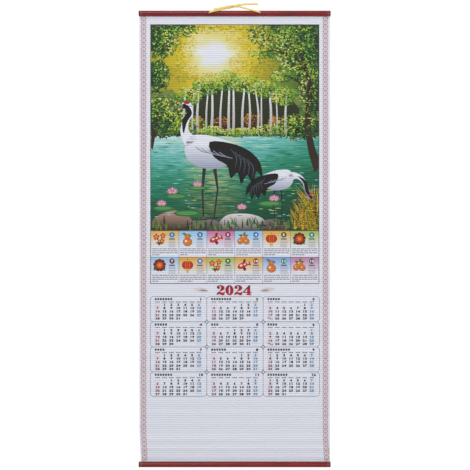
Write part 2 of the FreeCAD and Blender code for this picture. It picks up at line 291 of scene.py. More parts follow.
def print_layer(name, layer, step, material):
    """Make one layer of ink as a piece, laid on the slats."""
    points, faces, colours, known, laid = [], [], [], {}, set()
    for edges, colour in layer:
        for corners in strips(edges):
            face = []
            for x, z in corners:
                key = (round(x, 3), round(z, 3))
                if key not in known:
                    known[key] = len(points)
                    points.append((x, front_crest + groove_sink(z) - step * INK_STEP, z))
                if known[key] not in face:
                    face.append(known[key])
            if len(face) > 2 and frozenset(face) not in laid:
                laid.add(frozenset(face))
                faces.append(face)
                colours += [colour(points[corner][0], points[corner][2]) if callable(colour)
                            else colour for corner in face]
    piece = make_mesh(name, points, faces)
    mesh = piece.data
    stain = mesh.color_attributes.new(INK_NAME, "FLOAT_COLOR", "CORNER")
    stain.data.foreach_set("color", [channel for colour in colours for channel in colour])
    left, low = [min(point[axis] for point in points) for axis in (0, 2)]
    right, high = [max(point[axis] for point in points) for axis in (0, 2)]
    flat = mesh.uv_layers.new(name="OFBake")
    for loop in mesh.loops:
        x, _, z = mesh.vertices[loop.vertex_index].co
        flat.data[loop.index].uv = ((x / MM - left) / (right - left), (z / MM - low) / (high - low))
    mesh.materials.append(material)


def rectangle(x0, x1, z0, z1):
    return [(x0, z0), (x1, z0), (x1, z1), (x0, z1)]


def placed(outline, x, z, scale=1.0, flip=1, turn=0.0):
    """An outline drawn at another place, scaled, turned in degrees and mirrored if flip is -1."""
    cosine, sine = math.cos(math.radians(turn)), math.sin(math.radians(turn))
    return [(x + scale * flip * (a * cosine - b * sine), z + scale * (a * sine + b * cosine))
            for a, b in outline]


def oval(x, z, wide, tall, turn=0.0, steps=20):
    """An ellipse by its centre and half sizes, turned about its centre by an angle in degrees."""
    rim = [(wide * math.cos(math.tau * step / steps), tall * math.sin(math.tau * step / steps))
           for step in range(steps)]
    return placed(rim, x, z, turn=turn)


def curve_through(points, closed=False, steps=5):
    """A smooth line through given points, as a Catmull-Rom curve."""
    count = len(points)
    found = []
    for index in range(count if closed else count - 1):
        if closed:
            four = [points[(index + shift) % count] for shift in (-1, 0, 1, 2)]
        else:
            four = [points[min(max(index + shift, 0), count - 1)] for shift in (-1, 0, 1, 2)]
        for step in range(steps):
            t = step / steps
            found.append(tuple(
                0.5 * (2 * b + (c - a) * t + (2 * a - 5 * b + 4 * c - d) * t ** 2
                       + (3 * b - a - 3 * c + d) * t ** 3) for a, b, c, d in zip(*four)))
    return found if closed else found + [tuple(points[-1])]


def stroke(points, widths, smooth=True, steps=5):
    """A brush stroke: a line through points, as wide as the widths say from end to end."""
    line = curve_through(points, steps=steps) if smooth else [tuple(point) for point in points]
    left, right = [], []
    for index, (x, z) in enumerate(line):
        ahead = line[min(index + 1, len(line) - 1)]
        behind = line[max(index - 1, 0)]
        dx, dz = ahead[0] - behind[0], ahead[1] - behind[1]
        length = math.hypot(dx, dz) or 1.0
        at = index / (len(line) - 1) * (len(widths) - 1)
        low = min(int(at), len(widths) - 2)
        half = (widths[low] + (widths[low + 1] - widths[low]) * (at - low)) / 2
        left.append((x - dz / length * half, z + dx / length * half))
        right.append((x + dz / length * half, z - dx / length * half))
    return left + right[::-1]


printed, printed_tree, printed_shader = new_material("printed_paper", 0.6)
stain = add_node(printed_tree, "Attribute", attribute_name=INK_NAME)
finish_paper(printed_tree, printed_shader, stain.outputs["Color"])


def print_passes(first_step, **passes):
    """Print named passes of ink one over the other, from a first step above the paper."""
    for step, (name, layer) in enumerate(passes.items(), start=first_step):
        print_layer("print_" + name, layer, step, printed)


# The ornamental strips down both sides of the print: a traditional braid of two strands that swing
# out and back along a straight one, in dusty rose on a paler ground, with a thin line along each edge
# and a light eye in each swing.
STRIP_CENTRES = (-152.1, 151.4)
STRIP_HALF_WIDTH = 4.0
STRIP_GROUND_HALF_WIDTH = 4.9
STRAND_NEAR, STRAND_FAR = 0.9, 3.4
SWING_LENGTH = 2 * slat_pitch
STRAND_WIDTH = 1.05
STRAIGHT_WIDTH = 0.7
STRIP_EDGE_WIDTH = 0.5
EYE_OFFSET = 1.75
EYE_HALF_SIZES = (0.72, 1.7)
STRIP_STEP = 1.2
STRIP_END_GAP = 0.1
STRIP_GROUND = "#FFEFEB"
STRIP_LINE = "#C0A09F"
STRIP_EYE = "#FFFAFA"

strip_ground, strip_lines, strip_eyes = [], [], []
strip_steps = int((top_edge - bottom_edge - 2 * STRIP_END_GAP) / STRIP_STEP) + 1
strip_run = [top_edge - STRIP_END_GAP - step * STRIP_STEP for step in range(strip_steps)]


def down_strip(place):
    """A line down the mat at place(z) from its middle, slipping to the right with the slats."""
    return [(place(z) + slip(z), z) for z in strip_run]


def thread(place, width):
    """A thin printed line down a strip."""
    ink(strip_lines, [stroke(down_strip(place), (width, width), smooth=False)], STRIP_LINE)


def strand_offset(z):
    """How far a swinging strand is from the middle of its strip at height z."""
    swing = 0.5 - 0.5 * math.cos(math.tau * (z - top_edge) / SWING_LENGTH)
    return STRAND_NEAR + (STRAND_FAR - STRAND_NEAR) * swing


for centre in STRIP_CENTRES:
    left = down_strip(lambda z: centre - STRIP_GROUND_HALF_WIDTH)
    right = down_strip(lambda z: centre + STRIP_GROUND_HALF_WIDTH)
    ink(strip_ground, [left + right[::-1]], STRIP_GROUND)
    thread(lambda z: centre, STRAIGHT_WIDTH)
    for side in (-1, 1):
        thread(lambda z: centre + side * (STRIP_HALF_WIDTH - STRIP_EDGE_WIDTH / 2), STRIP_EDGE_WIDTH)
        thread(lambda z: centre + side * strand_offset(z), STRAND_WIDTH)
        for number in range(int((top_edge - bottom_edge) / SWING_LENGTH)):
            z = top_edge - (number + 0.5) * SWING_LENGTH
            eye = oval(centre + side * EYE_OFFSET + slip(z), z, *EYE_HALF_SIZES, steps=12)
            ink(strip_eyes, [eye], STRIP_EYE)
print_passes(1, strip_ground=strip_ground, strip_braid=strip_lines, strip_eyes=strip_eyes)

# The picture: a generic landscape in the colours of such prints, sunrise over a mountain lake. Its
# sky, hills and water are soft fields of colour in one pass of ink, and birches, leaves, stones and a
# pair of cranes are flat shapes over them, in the manner of a traditional scroll.
PICTURE_LEFT, PICTURE_RIGHT = -139.8, 140.3
PICTURE_TOP, PICTURE_BOTTOM = -19.1, -362.7
PICTURE_WIDTH = PICTURE_RIGHT - PICTURE_LEFT
PICTURE_HEIGHT = PICTURE_TOP - PICTURE_BOTTOM
SHORE = 0.46
SUN = (0.37, 0.86)
SUN_REACH_MM = 175.0
SKY_GLOW = ((0.0, "#FFFFFF"), (0.1, "#FFFFFA"), (0.18, "#FCF4A8"), (0.3, "#F5DC34"), (0.48, "#CDB92A"),
            (0.68, "#7C9432"), (1.0, "#2F5A28"))
WATER = ((0.0, "#0A4A2C"), (0.3, "#166A48"), (0.56, "#349C78"), (0.8, "#78CFC0"), (1.0, "#D6F6EA"))
WATER_GOLD, HILL_WOODS = "#E9DC78", "#12321A"
# Each range of hills: base and height as shares of the picture, bumps across it, a draw, crest, foot.
HILLS = ((0.70, 0.30, 2.6, 3.1, "#7C9A3C", "#DDD98A"), (0.62, 0.24, 4.2, 18.7, "#44752E", "#B4C468"),
         (0.53, 0.15, 7.5, 41.3, "#173F20", "#5F8F34"))
HAZE_SHARE = 0.6
HILL_EDGE, SHORE_EDGE = 0.0015, 0.001
SPECKLE_MM = 4.0
CLOUD_MM = 36.0
CLOUD_CONTRAST = 0.34
RIPPLE_LENGTH_MM = 22.0
RIPPLE_HEIGHT_MM = 1.9
RIPPLE_CONTRAST, RIPPLE_DARKENING = 0.8, 0.42
SUN_PATH_HALF_WIDTHS = (0.02, 0.2)

picture_paint, tree, picture_shader = new_material("printed_landscape", 0.6)
place = add_node(tree, "TexCoord").outputs["Object"]
axes = add_node(tree, "SeparateXYZ", {"Vector": place})
across = add_node(tree, "MapRange", {"Value": axes.outputs["X"], "From Min": PICTURE_LEFT * MM,
                                     "From Max": PICTURE_RIGHT * MM})
up = add_node(tree, "MapRange", {"Value": axes.outputs["Z"], "From Min": PICTURE_BOTTOM * MM,
                                 "From Max": PICTURE_TOP * MM})
sun_place = (PICTURE_LEFT + SUN[0] * PICTURE_WIDTH, PICTURE_BOTTOM + SUN[1] * PICTURE_HEIGHT)
from_sun = add_node(tree, "VectorMath", {
    0: place, 1: (sun_place[0] * MM, front_crest * MM, sun_place[1] * MM)}, operation="DISTANCE")
clouds = add_node(tree, "TexNoise", {
    "Vector": add_node(tree, "Mapping", {"Vector": place, "Scale": (0.6, 1.0, 1.3)}),
    "Scale": 1 / (CLOUD_MM * MM), "Detail": 5.0})
cloud_push = add_node(tree, "Math", {0: clouds, 1: CLOUD_CONTRAST, 2: -CLOUD_CONTRAST / 2},
                      operation="MULTIPLY_ADD")
glow_at = add_node(tree, "Math", {0: from_sun.outputs["Value"], 1: 1 / (SUN_REACH_MM * MM),
                                  2: cloud_push}, operation="MULTIPLY_ADD")
depth = add_node(tree, "MapRange", {"Value": up, "From Min": 0.0, "From Max": SHORE})
ripples = add_node(tree, "TexNoise", {
    "Vector": add_node(tree, "Mapping", {
        "Vector": place, "Scale": (1 / RIPPLE_LENGTH_MM, 1.0, 1 / RIPPLE_HEIGHT_MM)}),
    "Scale": 1 / MM, "Detail": 3.0, "Roughness": 0.6, "Distortion": 0.4})
swell = add_node(tree, "Math", {0: ripples, 1: RIPPLE_CONTRAST, 2: -RIPPLE_DARKENING},
                 operation="MULTIPLY_ADD")
shadow_side = add_node(tree, "MapRange", {"Value": across, "From Min": 0.45, "From Max": 1.1,
                                          "To Min": 0.0, "To Max": -0.35})
water_at = add_node(tree, "Math", {0: add_node(tree, "Math", {0: depth, 1: swell}, operation="ADD"),
                                   1: shadow_side}, operation="ADD")
sky_colour = add_node(tree, "ValToRGB", {"Fac": glow_at})
water_colour = add_node(tree, "ValToRGB", {"Fac": water_at})
for ramp, stops in ((sky_colour.color_ramp, SKY_GLOW), (water_colour.color_ramp, WATER)):
    for at, (position, colour) in enumerate(stops):
        stop = ramp.elements[at] if at < 2 else ramp.elements.new(position)
        stop.position = position
        stop.color = linear(colour)
speckle = add_node(tree, "TexNoise", {"Vector": place, "Scale": 1 / (SPECKLE_MM * MM), "Detail": 3.0,
                                      "Roughness": 0.7})
picture = sky_colour
for base, height, bumps, draw, crest, foot in HILLS:
    run = add_node(tree, "Math", {0: across, 1: bumps, 2: draw}, operation="MULTIPLY_ADD")
    ridge_noise = add_node(tree, "TexNoise", {"W": run, "Scale": 1.0, "Detail": 6.0, "Roughness": 0.55},
                           noise_dimensions="1D")
    ridge = add_node(tree, "Math", {0: ridge_noise, 1: height, 2: base - height / 2},
                     operation="MULTIPLY_ADD")
    below = add_node(tree, "Math", {0: ridge, 1: up}, operation="SUBTRACT")
    cover = add_node(tree, "MapRange", {"Value": below, "From Min": -HILL_EDGE, "From Max": HILL_EDGE})
    haze = add_node(tree, "MapRange", {"Value": below, "From Min": 0.0, "From Max": HAZE_SHARE * height})
    woods = add_node(tree, "MixRGB", {"Fac": haze, "Color1": linear(crest), "Color2": linear(foot)})
    tufts = add_node(tree, "MapRange", {"Value": speckle, "From Min": 0.42, "From Max": 0.62,
                                        "To Max": 0.6})
    dark_woods = add_node(tree, "MixRGB", {"Fac": tufts, "Color1": woods, "Color2": linear(HILL_WOODS)})
    picture = add_node(tree, "MixRGB", {"Fac": cover, "Color1": picture, "Color2": dark_woods})
sun_line = add_node(tree, "Math", {0: across, 1: SUN[0]}, operation="SUBTRACT")
sun_gap = add_node(tree, "Math", {0: sun_line}, operation="ABSOLUTE")
sun_path = add_node(tree, "MapRange", {"Value": sun_gap, "From Min": SUN_PATH_HALF_WIDTHS[1],
                                       "From Max": SUN_PATH_HALF_WIDTHS[0]})
glitter = add_node(tree, "MapRange", {"Value": ripples, "From Min": 0.42, "From Max": 0.62})
gold = add_node(tree, "Math", {0: sun_path, 1: glitter}, operation="MULTIPLY")
far_gold = add_node(tree, "Math", {0: gold, 1: depth}, operation="MULTIPLY")
lit_water = add_node(tree, "MixRGB", {"Fac": far_gold, "Color1": water_colour,
                                      "Color2": linear(WATER_GOLD)})
wet = add_node(tree, "MapRange", {"Value": up, "From Min": SHORE + SHORE_EDGE,
                                  "From Max": SHORE - SHORE_EDGE})
picture = add_node(tree, "MixRGB", {"Fac": wet, "Color1": picture, "Color2": lit_water})
finish_paper(tree, picture_shader, picture)

picture_ground = []
ink(picture_ground, [rectangle(PICTURE_LEFT, PICTURE_RIGHT, PICTURE_BOTTOM, PICTURE_TOP)], "#FFFFFF")
print_layer("print_picture", picture_ground, 1, picture_paint)

# Trees, stones and water plants of the picture, printed over its ground. Each tree has a dark heart in
# the first pass, then its shaded leaves, then trunks and sunlit leaves. Birches stand on the far shore,
# and the leaves round the sun are gold. Leaf colours run from a tree's shaded side to its sunlit one.
LEAF_DARKS = ("#0E1A10", "#1A2A18", "#28381E", "#20422A", "#424A26")
LEAF_MIDS = ("#2E6636", "#3C7230", "#528A34", "#6C9A36", "#808C34")
LEAF_LIGHTS = ("#8CC83A", "#A8DC3E", "#D6EA4A", "#F2E84A", "#F8F2A0")
LEAF_GOLDS = ("#8A9430", "#A9AC32", "#CDB82C", "#E8CC34", "#F6DC4C", "#FBEFA0")
LEAF_RUSSETS = ("#2E1A10", "#5E3216", "#94501E", "#C67A2C", "#E8A83C")
HEART_FOOT, HEART_TOP = "#122B16", "#24502A"
GROVE_FOOT, GROVE_TOP = "#1C150B", "#34401A"
BIRCH_FOOT, BIRCH_TOP = "#B9B2A0", "#FFFFF6"
BARK = "#352318"
RIPPLE_SHADES = ("#9FE3D6", "#5DBFA6", "#0E5238", "#C9E27A")
LARGE_LEAF, LIT_LEAF, SMALL_LEAF = 5.4, 4.8, 4.4
LEAF_OUTLINE = [(-0.5, 0.0), (0.06, 0.21), (0.5, 0.0), (-0.06, -0.21)]
# Clumps of leaves: place, half sizes, and how many dark and how many sunlit leaves each has.
CLUMPS = ((112, -56, 52, 52, 1080, 576), (66, -34, 46, 26, 495, 304), (130, -128, 26, 46, 495, 192),
          (-124, -40, 34, 36, 495, 240), (-86, -26, 26, 14, 165, 96), (-128, -104, 20, 30, 240, 80),
          (-118, -172, 44, 36, 690, 368), (-76, -190, 34, 18, 255, 144), (106, -190, 46, 22, 390, 176),
          (48, -66, 24, 10, 90, 128), (84, -104, 26, 11, 90, 128))
# Clumps of leaves of one kind: place, half sizes and number.
GOLD_CLUMPS = ((28, -40, 44, 24, 461), (30, -82, 40, 22, 461), (-86, -54, 22, 28, 237),
               (-84, -98, 26, 18, 224), (-36, -106, 50, 8, 308), (-30, -27, 44, 8, 210))
RUSSET_CLUMPS = ((-22, -184, 14, 12, 110), (30, -180, 16, 14, 110), (70, -184, 14, 12, 110),
                 (-64, -182, 12, 12, 110))
GROVE_CLUMPS = ((-46, -122, 26, 15, 360), (-14, -112, 24, 17, 375), (20, -118, 28, 15, 375),
                (52, -126, 26, 15, 360), (84, -138, 24, 16, 330), (-76, -138, 22, 16, 315),
                (-40, -197, 24, 9, 225), (8, -199, 30, 8, 240), (54, -196, 28, 10, 225))
GROVE_OUTLINE = [(-96, -150), (-74, -128), (-44, -118), (-12, -110), (22, -116), (56, -124), (88, -136),
                 (108, -160)]
BIRCHES = (-84, -70, -61, -47, -39, -24, -10, -2, 13, 24, 38, 45, 60, 71, 85)
# Branches of the near trees: a line, and its width from end to end.
BRANCHES = (([(141, -262), (128, -224), (122, -176), (126, -130), (118, -88), (104, -58)],
             (17, 12, 9, 8, 6, 3)),
            ([(123, -132), (104, -112), (84, -104)], (5, 3, 1.5)),
            ([(120, -96), (98, -74), (66, -62), (44, -66)], (5, 3.5, 2, 1)),
            ([(-141, -226), (-134, -196), (-128, -164)], (9, 6, 3)))
SHORE_Z = PICTURE_BOTTOM + SHORE * PICTURE_HEIGHT
FIELD_MARGIN, LEAF_MARGIN = 0.2, 2
RIPPLE_COUNT = 150
leaf_draws = random.Random(23)
shade_inks, back_inks, middle_inks, front_inks = [], [], [], []


def paint(layer, outline, colour):
    """Print an outline in a colour, kept within the picture's field."""
    ink(layer, [[(min(max(x, PICTURE_LEFT + FIELD_MARGIN), PICTURE_RIGHT - FIELD_MARGIN),
                  min(max(z, PICTURE_BOTTOM + FIELD_MARGIN), PICTURE_TOP - FIELD_MARGIN))
                 for x, z in outline]], colour)


def leaf_clump(layer, x, z, wide, tall, count, length, shades):
    """Leaves strewn over an oval, the lighter shades on its side towards the sun."""
    sunward = Vector((sun_place[0] - x, sun_place[1] - z)).normalized()
    for number in range(count):
        angle, reach = leaf_draws.uniform(0, math.tau), math.sqrt(leaf_draws.random())
        turn = leaf_draws.uniform(-75, 75)
        size = length * leaf_draws.uniform(0.6, 1.3)
        spread = Vector((reach * math.cos(angle), reach * math.sin(angle)))
        leaf_x, leaf_z = x + wide * spread.x, z + tall * spread.y
        lit = 0.5 + 0.42 * spread.dot(sunward) + leaf_draws.uniform(-0.38, 0.38)
        shade = shades[min(max(int(lit * len(shades)), 0), len(shades) - 1)]
        if (PICTURE_LEFT + LEAF_MARGIN < leaf_x < PICTURE_RIGHT - LEAF_MARGIN
                and PICTURE_BOTTOM + LEAF_MARGIN < leaf_z < PICTURE_TOP - LEAF_MARGIN):
            paint(layer, placed(LEAF_OUTLINE, leaf_x, leaf_z, size, turn=turn), shade)


def lumpy(x, z, wide, tall, lumps, rough):
    """A lumpy closed outline, for a stone or the dark heart of a tree."""
    rim = []
    for step in range(lumps):
        angle = math.tau * step / lumps
        reach = 1 + leaf_draws.uniform(-rough, rough)
        rim.append((x + wide * reach * math.cos(angle), z + tall * reach * math.sin(angle)))
    return curve_through(rim, closed=True, steps=4)


def between(low, high, lower, upper):
    """A colour that runs from one at height low to another at height high."""
    ends = linear(lower), linear(upper)

    def at(x, z):
        share = min(max((z - low) / (high - low), 0), 1)
        return tuple(a + (b - a) * share for a, b in zip(*ends))

    return at


for x, z, wide, tall, darks, lights in CLUMPS:
    if tall > 12:
        heart = lumpy(x, z, 0.82 * wide, 0.82 * tall, lumps=14, rough=0.16)
        paint(shade_inks, heart, between(z - tall, z + tall, HEART_FOOT, HEART_TOP))
ink(shade_inks, [[(-96, SHORE_Z), *curve_through(GROVE_OUTLINE), (108, SHORE_Z)]],
    between(SHORE_Z, -112, GROVE_FOOT, GROVE_TOP))
for x, z, wide, tall, darks, lights in CLUMPS:
    leaf_clump(back_inks, x, z, wide, tall, darks, LARGE_LEAF, LEAF_DARKS + LEAF_MIDS)
for clump in GOLD_CLUMPS:
    leaf_clump(back_inks, *clump, SMALL_LEAF, LEAF_GOLDS)
for x in BIRCHES:
    wide = leaf_draws.uniform(3.0, 5.2)
    trunk = [(x, SHORE_Z + leaf_draws.uniform(1, 5)), (x + leaf_draws.uniform(-2, 2), -165),
             (x + leaf_draws.uniform(-4, 4), -118 - leaf_draws.uniform(0, 14))]
    ink(middle_inks, [stroke(trunk, (wide, 0.8 * wide, 0.5 * wide), steps=3)],
        between(SHORE_Z, -130, BIRCH_FOOT, BIRCH_TOP))
for number in range(RIPPLE_COUNT):
    x, z = leaf_draws.uniform(-136, 138), leaf_draws.uniform(-345, SHORE_Z - 3)
    half = leaf_draws.uniform(3, 11) * (1.3 if z > -260 else 0.8)
    ripple = [(x - half, z), (x, z + 0.7), (x + half, z), (x, z - 0.7)]
    paint(back_inks, ripple, leaf_draws.choice(RIPPLE_SHADES))
for clump in RUSSET_CLUMPS:
    leaf_clump(back_inks, *clump, SMALL_LEAF, LEAF_RUSSETS)
for clump in GROVE_CLUMPS:
    leaf_clump(front_inks, *clump, SMALL_LEAF, LEAF_MIDS[1:] + LEAF_LIGHTS)
for line, widths in BRANCHES:
    paint(middle_inks, stroke(line, widths), BARK)
for x, z, wide, tall, darks, lights in CLUMPS:
    leaf_clump(middle_inks, x, z, 0.9 * wide, 0.86 * tall, lights, LIT_LEAF, LEAF_MIDS + LEAF_LIGHTS)

# Stones along the near bank, each lit from above and cracked here and there: place, half sizes, and
# the colours of foot and crest.
STONES = ((-104, -350, 34, 20, "#3E2A22", "#C79C86"), (-50, -357, 30, 15, "#2E2926", "#8E857C"),
          (10, -353, 40, 18, "#5A5048", "#F2EBE2"), (66, -358, 28, 14, "#2C2622", "#8A7C6E"))
for x, z, wide, tall, foot, crest in STONES:
    paint(back_inks, lumpy(x, z, wide, tall, lumps=9, rough=0.1),
          between(z - 0.5 * tall, z + tall, foot, crest))
    for crack in range(3):
        crack_x = x + leaf_draws.uniform(-0.5, 0.4) * wide
        line = [(crack_x, z + 0.6 * tall), (crack_x + leaf_draws.uniform(-4, 6), z + 0.1 * tall),
                (crack_x + leaf_draws.uniform(-6, 10), z - 0.3 * tall)]
        paint(middle_inks, stroke(line, (0.4, 1.3, 0.4), steps=3), foot)

# Reeds stand in the right corner, short grass grows along the bank, and lily pads lie on the water.
REED_SHADES = ("#D9B92F", "#F0CC38", "#A9A636", "#7F8F32", "#E0982C", "#7A5A1C")
PAD_RIM, PAD_MIDDLE = "#2F7A42", "#5CA350"
BLADE_COUNT = 300
LILY_PADS = ((-96, -306, 20, 4.5), (-60, -292, 17, 4.2), (-118, -326, 19, 4.8), (60, -318, 22, 5.0),
             (84, -292, 18, 4.2), (-78, -334, 24, 5.4))
for number in range(BLADE_COUNT):
    reed = number % 3 > 0
    x = leaf_draws.triangular(96, 139, 136) if reed else leaf_draws.uniform(-138, 100)
    tall = leaf_draws.uniform(0.5, 1.0) * (x - 76) * 1.25 if reed else leaf_draws.uniform(5, 14)
    lean = leaf_draws.uniform(-0.5, 0.3)
    foot_z = PICTURE_BOTTOM + leaf_draws.uniform(0.5, 12)
    line = [(x, foot_z), (x + lean * tall * 0.3, foot_z + tall * 0.6), (x + lean * tall, foot_z + tall)]
    shades = REED_SHADES if reed else LEAF_MIDS + (HEART_FOOT,)
    paint(front_inks if number % 2 else middle_inks, stroke(line, (2.4, 1.6, 0.3), steps=4),
          leaf_draws.choice(shades))
for x, z, wide, tall in LILY_PADS:
    paint(middle_inks, oval(x, z, wide, tall, steps=28), PAD_RIM)
    paint(front_inks, oval(x - 1.5, z + 0.8, 0.72 * wide, 0.6 * tall, steps=24), PAD_MIDDLE)
print_passes(2, picture_shade=shade_inks, picture_leaves=back_inks, picture_trees=middle_inks)

# The cranes and the lotus flowers, the traditional figures of such a scroll. A crane has a white body
# and neck, a black bustle and throat, a red crown and long dark legs. It is drawn with its feet at
# the origin and looking left, 100 units tall, and is set down at its own size.
CRANE_BODY = [(-19, 60), (-17, 51), (-8, 44), (6, 42), (20, 46), (31, 53), (27, 61), (12, 68), (-2, 71),
              (-14, 70)]
CRANE_BUSTLE = [(2, 65), (20, 64), (35, 58), (45, 48), (47, 35), (42, 40), (39, 29), (34, 37), (29, 29),
                (26, 39), (20, 34), (17, 45), (6, 52)]
TALL_NECK = [(-13, 64), (-19, 73), (-18, 83), (-14, 90), (-17, 96)]
BOWED_NECK = [(-13, 62), (-25, 62), (-34, 54), (-37, 42), (-42, 33)]
CRANE_WHITE, CRANE_SHADE, CRANE_BLACK = "#FFFFFF", "#A9AFBF", "#08080A"
LEG_GREY, FEATHER_GREY, PLUME_GREY = "#2B2D2F", "#9BA1AE", "#565C66"
BEAK_HORN, CROWN_RED = "#8D8460", "#C8202A"
LOTUS_PALE, LOTUS_DEEP, LOTUS_HEART = "#F3B3C8", "#E07FA4", "#E9C23F"
LOTUS_PETAL = [(-0.22, 0.1), (-0.3, 0.6), (0.0, 1.2), (0.3, 0.6), (0.22, 0.1)]
LOTUSES = ((-104, -300, 9.0), (-62, -288, 7.5), (-122, -320, 8.0), (66, -312, 8.5), (12, -326, 8.0))
white_inks, black_inks, detail_inks = [], [], []


def draw_crane(x, z, size, flip, neck):
    """A standing crane with its neck along a given line, its beak level or bowed."""
    head_x, head_z = neck[-1]
    beak_x, beak_z = (-12, -1.5) if head_z > neck[0][1] else (-8, -11)

    def put(layer, outline, colour):
        ink(layer, [placed(outline, x, z, size / 100, flip)], colour)

    plumage = between(z + 0.42 * size, z + 0.64 * size, CRANE_SHADE, CRANE_WHITE)
    for leg in ([(-2, 46), (-4, 24), (-3, 0)], [(6, 46), (9, 25), (6, 1)]):
        foot_x, foot_z = leg[-1]
        toes = [(foot_x + 3, foot_z - 1), (foot_x - 7, foot_z - 1.5)]
        put(front_inks, stroke(leg, (3.4, 1.5, 1.6, 1.3), smooth=False), LEG_GREY)
        put(front_inks, stroke(toes, (1.4, 0.8)), LEG_GREY)
    put(white_inks, curve_through(CRANE_BODY, closed=True), plumage)
    put(white_inks, stroke(neck, (13, 7.5, 5.2, 4.6, 5.0)), plumage)
    put(white_inks, oval(head_x - 0.5, head_z + 0.5, 4.4, 3.3), plumage)
    put(black_inks, curve_through(CRANE_BUSTLE, closed=True, steps=3), CRANE_BLACK)
    throat = [(throat_x - 1.1, throat_z - 0.2) for throat_x, throat_z in neck[1:]]
    put(black_inks, stroke(throat, (0.8, 4.4, 4.5, 3.2)), CRANE_BLACK)
    put(black_inks, oval(head_x - 2.6, head_z - 0.6, 2.6, 2.1), CRANE_BLACK)
    beak = [(head_x - 3.6, head_z - 0.2), (head_x - 3.6 + beak_x, head_z - 0.2 + beak_z)]
    put(detail_inks, stroke(beak, (2.4, 0.4), smooth=False), BEAK_HORN)
    put(detail_inks, oval(head_x - 0.4, head_z + 2.6, 2.9, 1.3, steps=12), CROWN_RED)
    for feather in range(5):
        a, b = -10 + feather * 5, 61 - feather * 1.1
        put(detail_inks, stroke([(a, b), (a + 6, b - 4), (a + 12, b - 5.5)], (0.5, 1.0, 0.3)),
            FEATHER_GREY)
    for plume in range(5):
        a, b = 20 + plume * 3.6, 59 - plume * 2.2
        put(detail_inks, stroke([(a, b), (a + 5, b - 7), (a + 4, b - 16)], (0.4, 0.9, 0.2)), PLUME_GREY)


draw_crane(-46, -342, 196, 1, TALL_NECK)
draw_crane(75, -346, 120, -1, BOWED_NECK)
for x, z, size in LOTUSES:
    for petal in range(7):
        layer, shade = (detail_inks, LOTUS_PALE) if petal % 2 else (black_inks, LOTUS_DEEP)
        ink(layer, [placed(LOTUS_PETAL, x, z, size, turn=-72 + 24 * petal)], shade)
    ink(detail_inks, [oval(x, z + 2.0, 2.0, 1.2, steps=10)], LOTUS_HEART)
print_passes(5, picture_plants=front_inks, crane_white=white_inks, crane_black=black_inks,
             picture_details=detail_inks)

# The table under the picture: two rows of six cells, each fading from a colour at its top to bare
# paper. A cell holds a lucky figure such as a carp or a lantern, a numbered disc, a short heading bar
# and rows of fine grey bars, which stand for printed text. One thin line frames picture and table.
TABLE_LEVELS = (PICTURE_BOTTOM, -406.7, -450.9)
CELL_COLUMNS = 6
CELL_WIDTH = PICTURE_WIDTH / CELL_COLUMNS
CELL_TOPS = (("#F4BC4C", "#9CD4EE", "#D27096", "#92D4F2", "#F8B038", "#B0C648"),
             ("#9CD6F0", "#F4AA30", "#B8C240", "#F2AE2E", "#80AEE6", "#CC84A8"))
DISC_COLOURS = (("#2A8DC2", "#2478B0", "#A81C44", "#2A80C8", "#2F5A2F", "#28987A"),
                ("#941C48", "#3290C8", "#347A34", "#9A1C24", "#289858", "#244A2C"))
FIGURE_ORDER = (("sprig", "gourd", "carp", "fruit", "lantern", "bloom"),
                ("bloom", "lantern", "sprig", "carp", "gourd", "fruit"))
FIGURE_RED, FIGURE_DARK, FIGURE_ORANGE = "#D63A22", "#7A2418", "#EE8A2C"
FIGURE_GOLD, FIGURE_GREEN, FIGURE_PALE = "#F2C440", "#6B7F34", "#FFF3E2"
TABLE_LINE, CELL_LINE = "#5A323C", "#7E5C68"
NOTE_GREY, TEXT_GREY, HEADING_GREY = "#A39EA6", "#7E7A82", "#5C5560"
TABLE_LINE_WIDTH, ROW_LINE_WIDTH, CELL_LINE_WIDTH = 1.0, 0.5, 0.6
FADE_POWER, FADE_LENGTH, FADE_EASE = 0.45, 0.66, 0.72
# Places in a cell, from its left side and its top: the figure, the disc, the lines of print.
FIGURE_PLACE = (14.5, 14.5)
DISC_PLACE, DISC_RADIUS, DISC_NUMBER = (35.2, 6.8), 4.6, 4.4
HEADING_TOP, HEADING_FOOT, HEADING_REACH = 12.9, 14.8, (5.0, 4.8)
NOTE_LEFT, NOTE_RIGHT, NOTE_RAGGEDNESS = 29.4, 43.2, 3
NOTE_TOP, NOTE_PITCH, NOTE_HALF, NOTE_LINES = 17.2, 2.5, 0.4, 5
TEXT_MARGIN, TEXT_TOP, TEXT_PITCH, TEXT_HALF, TEXT_LINES = 2.2, 30.4, 3.25, 0.68, 4
LAST_LINE_SHARES, WORD_LENGTHS, WORD_GAP = (0.3, 0.5), (2.5, 7.5), 1.0
NUMERAL_WEIGHT, NUMERAL_STRETCH, NUMERAL_SPACING = 0.06, 1.35, 1.12
table_ground, table_marks, table_details, table_fine = [], [], [], []
numeral_outlines = {}


def mesh_from(curve):
    """The mesh of a curve or of letters, which are then removed."""
    holder = bpy.data.objects.new(curve.name, curve)
    mesh = bpy.data.meshes.new_from_object(holder)
    bpy.data.objects.remove(holder)
    bpy.data.curves.remove(curve)
    return mesh


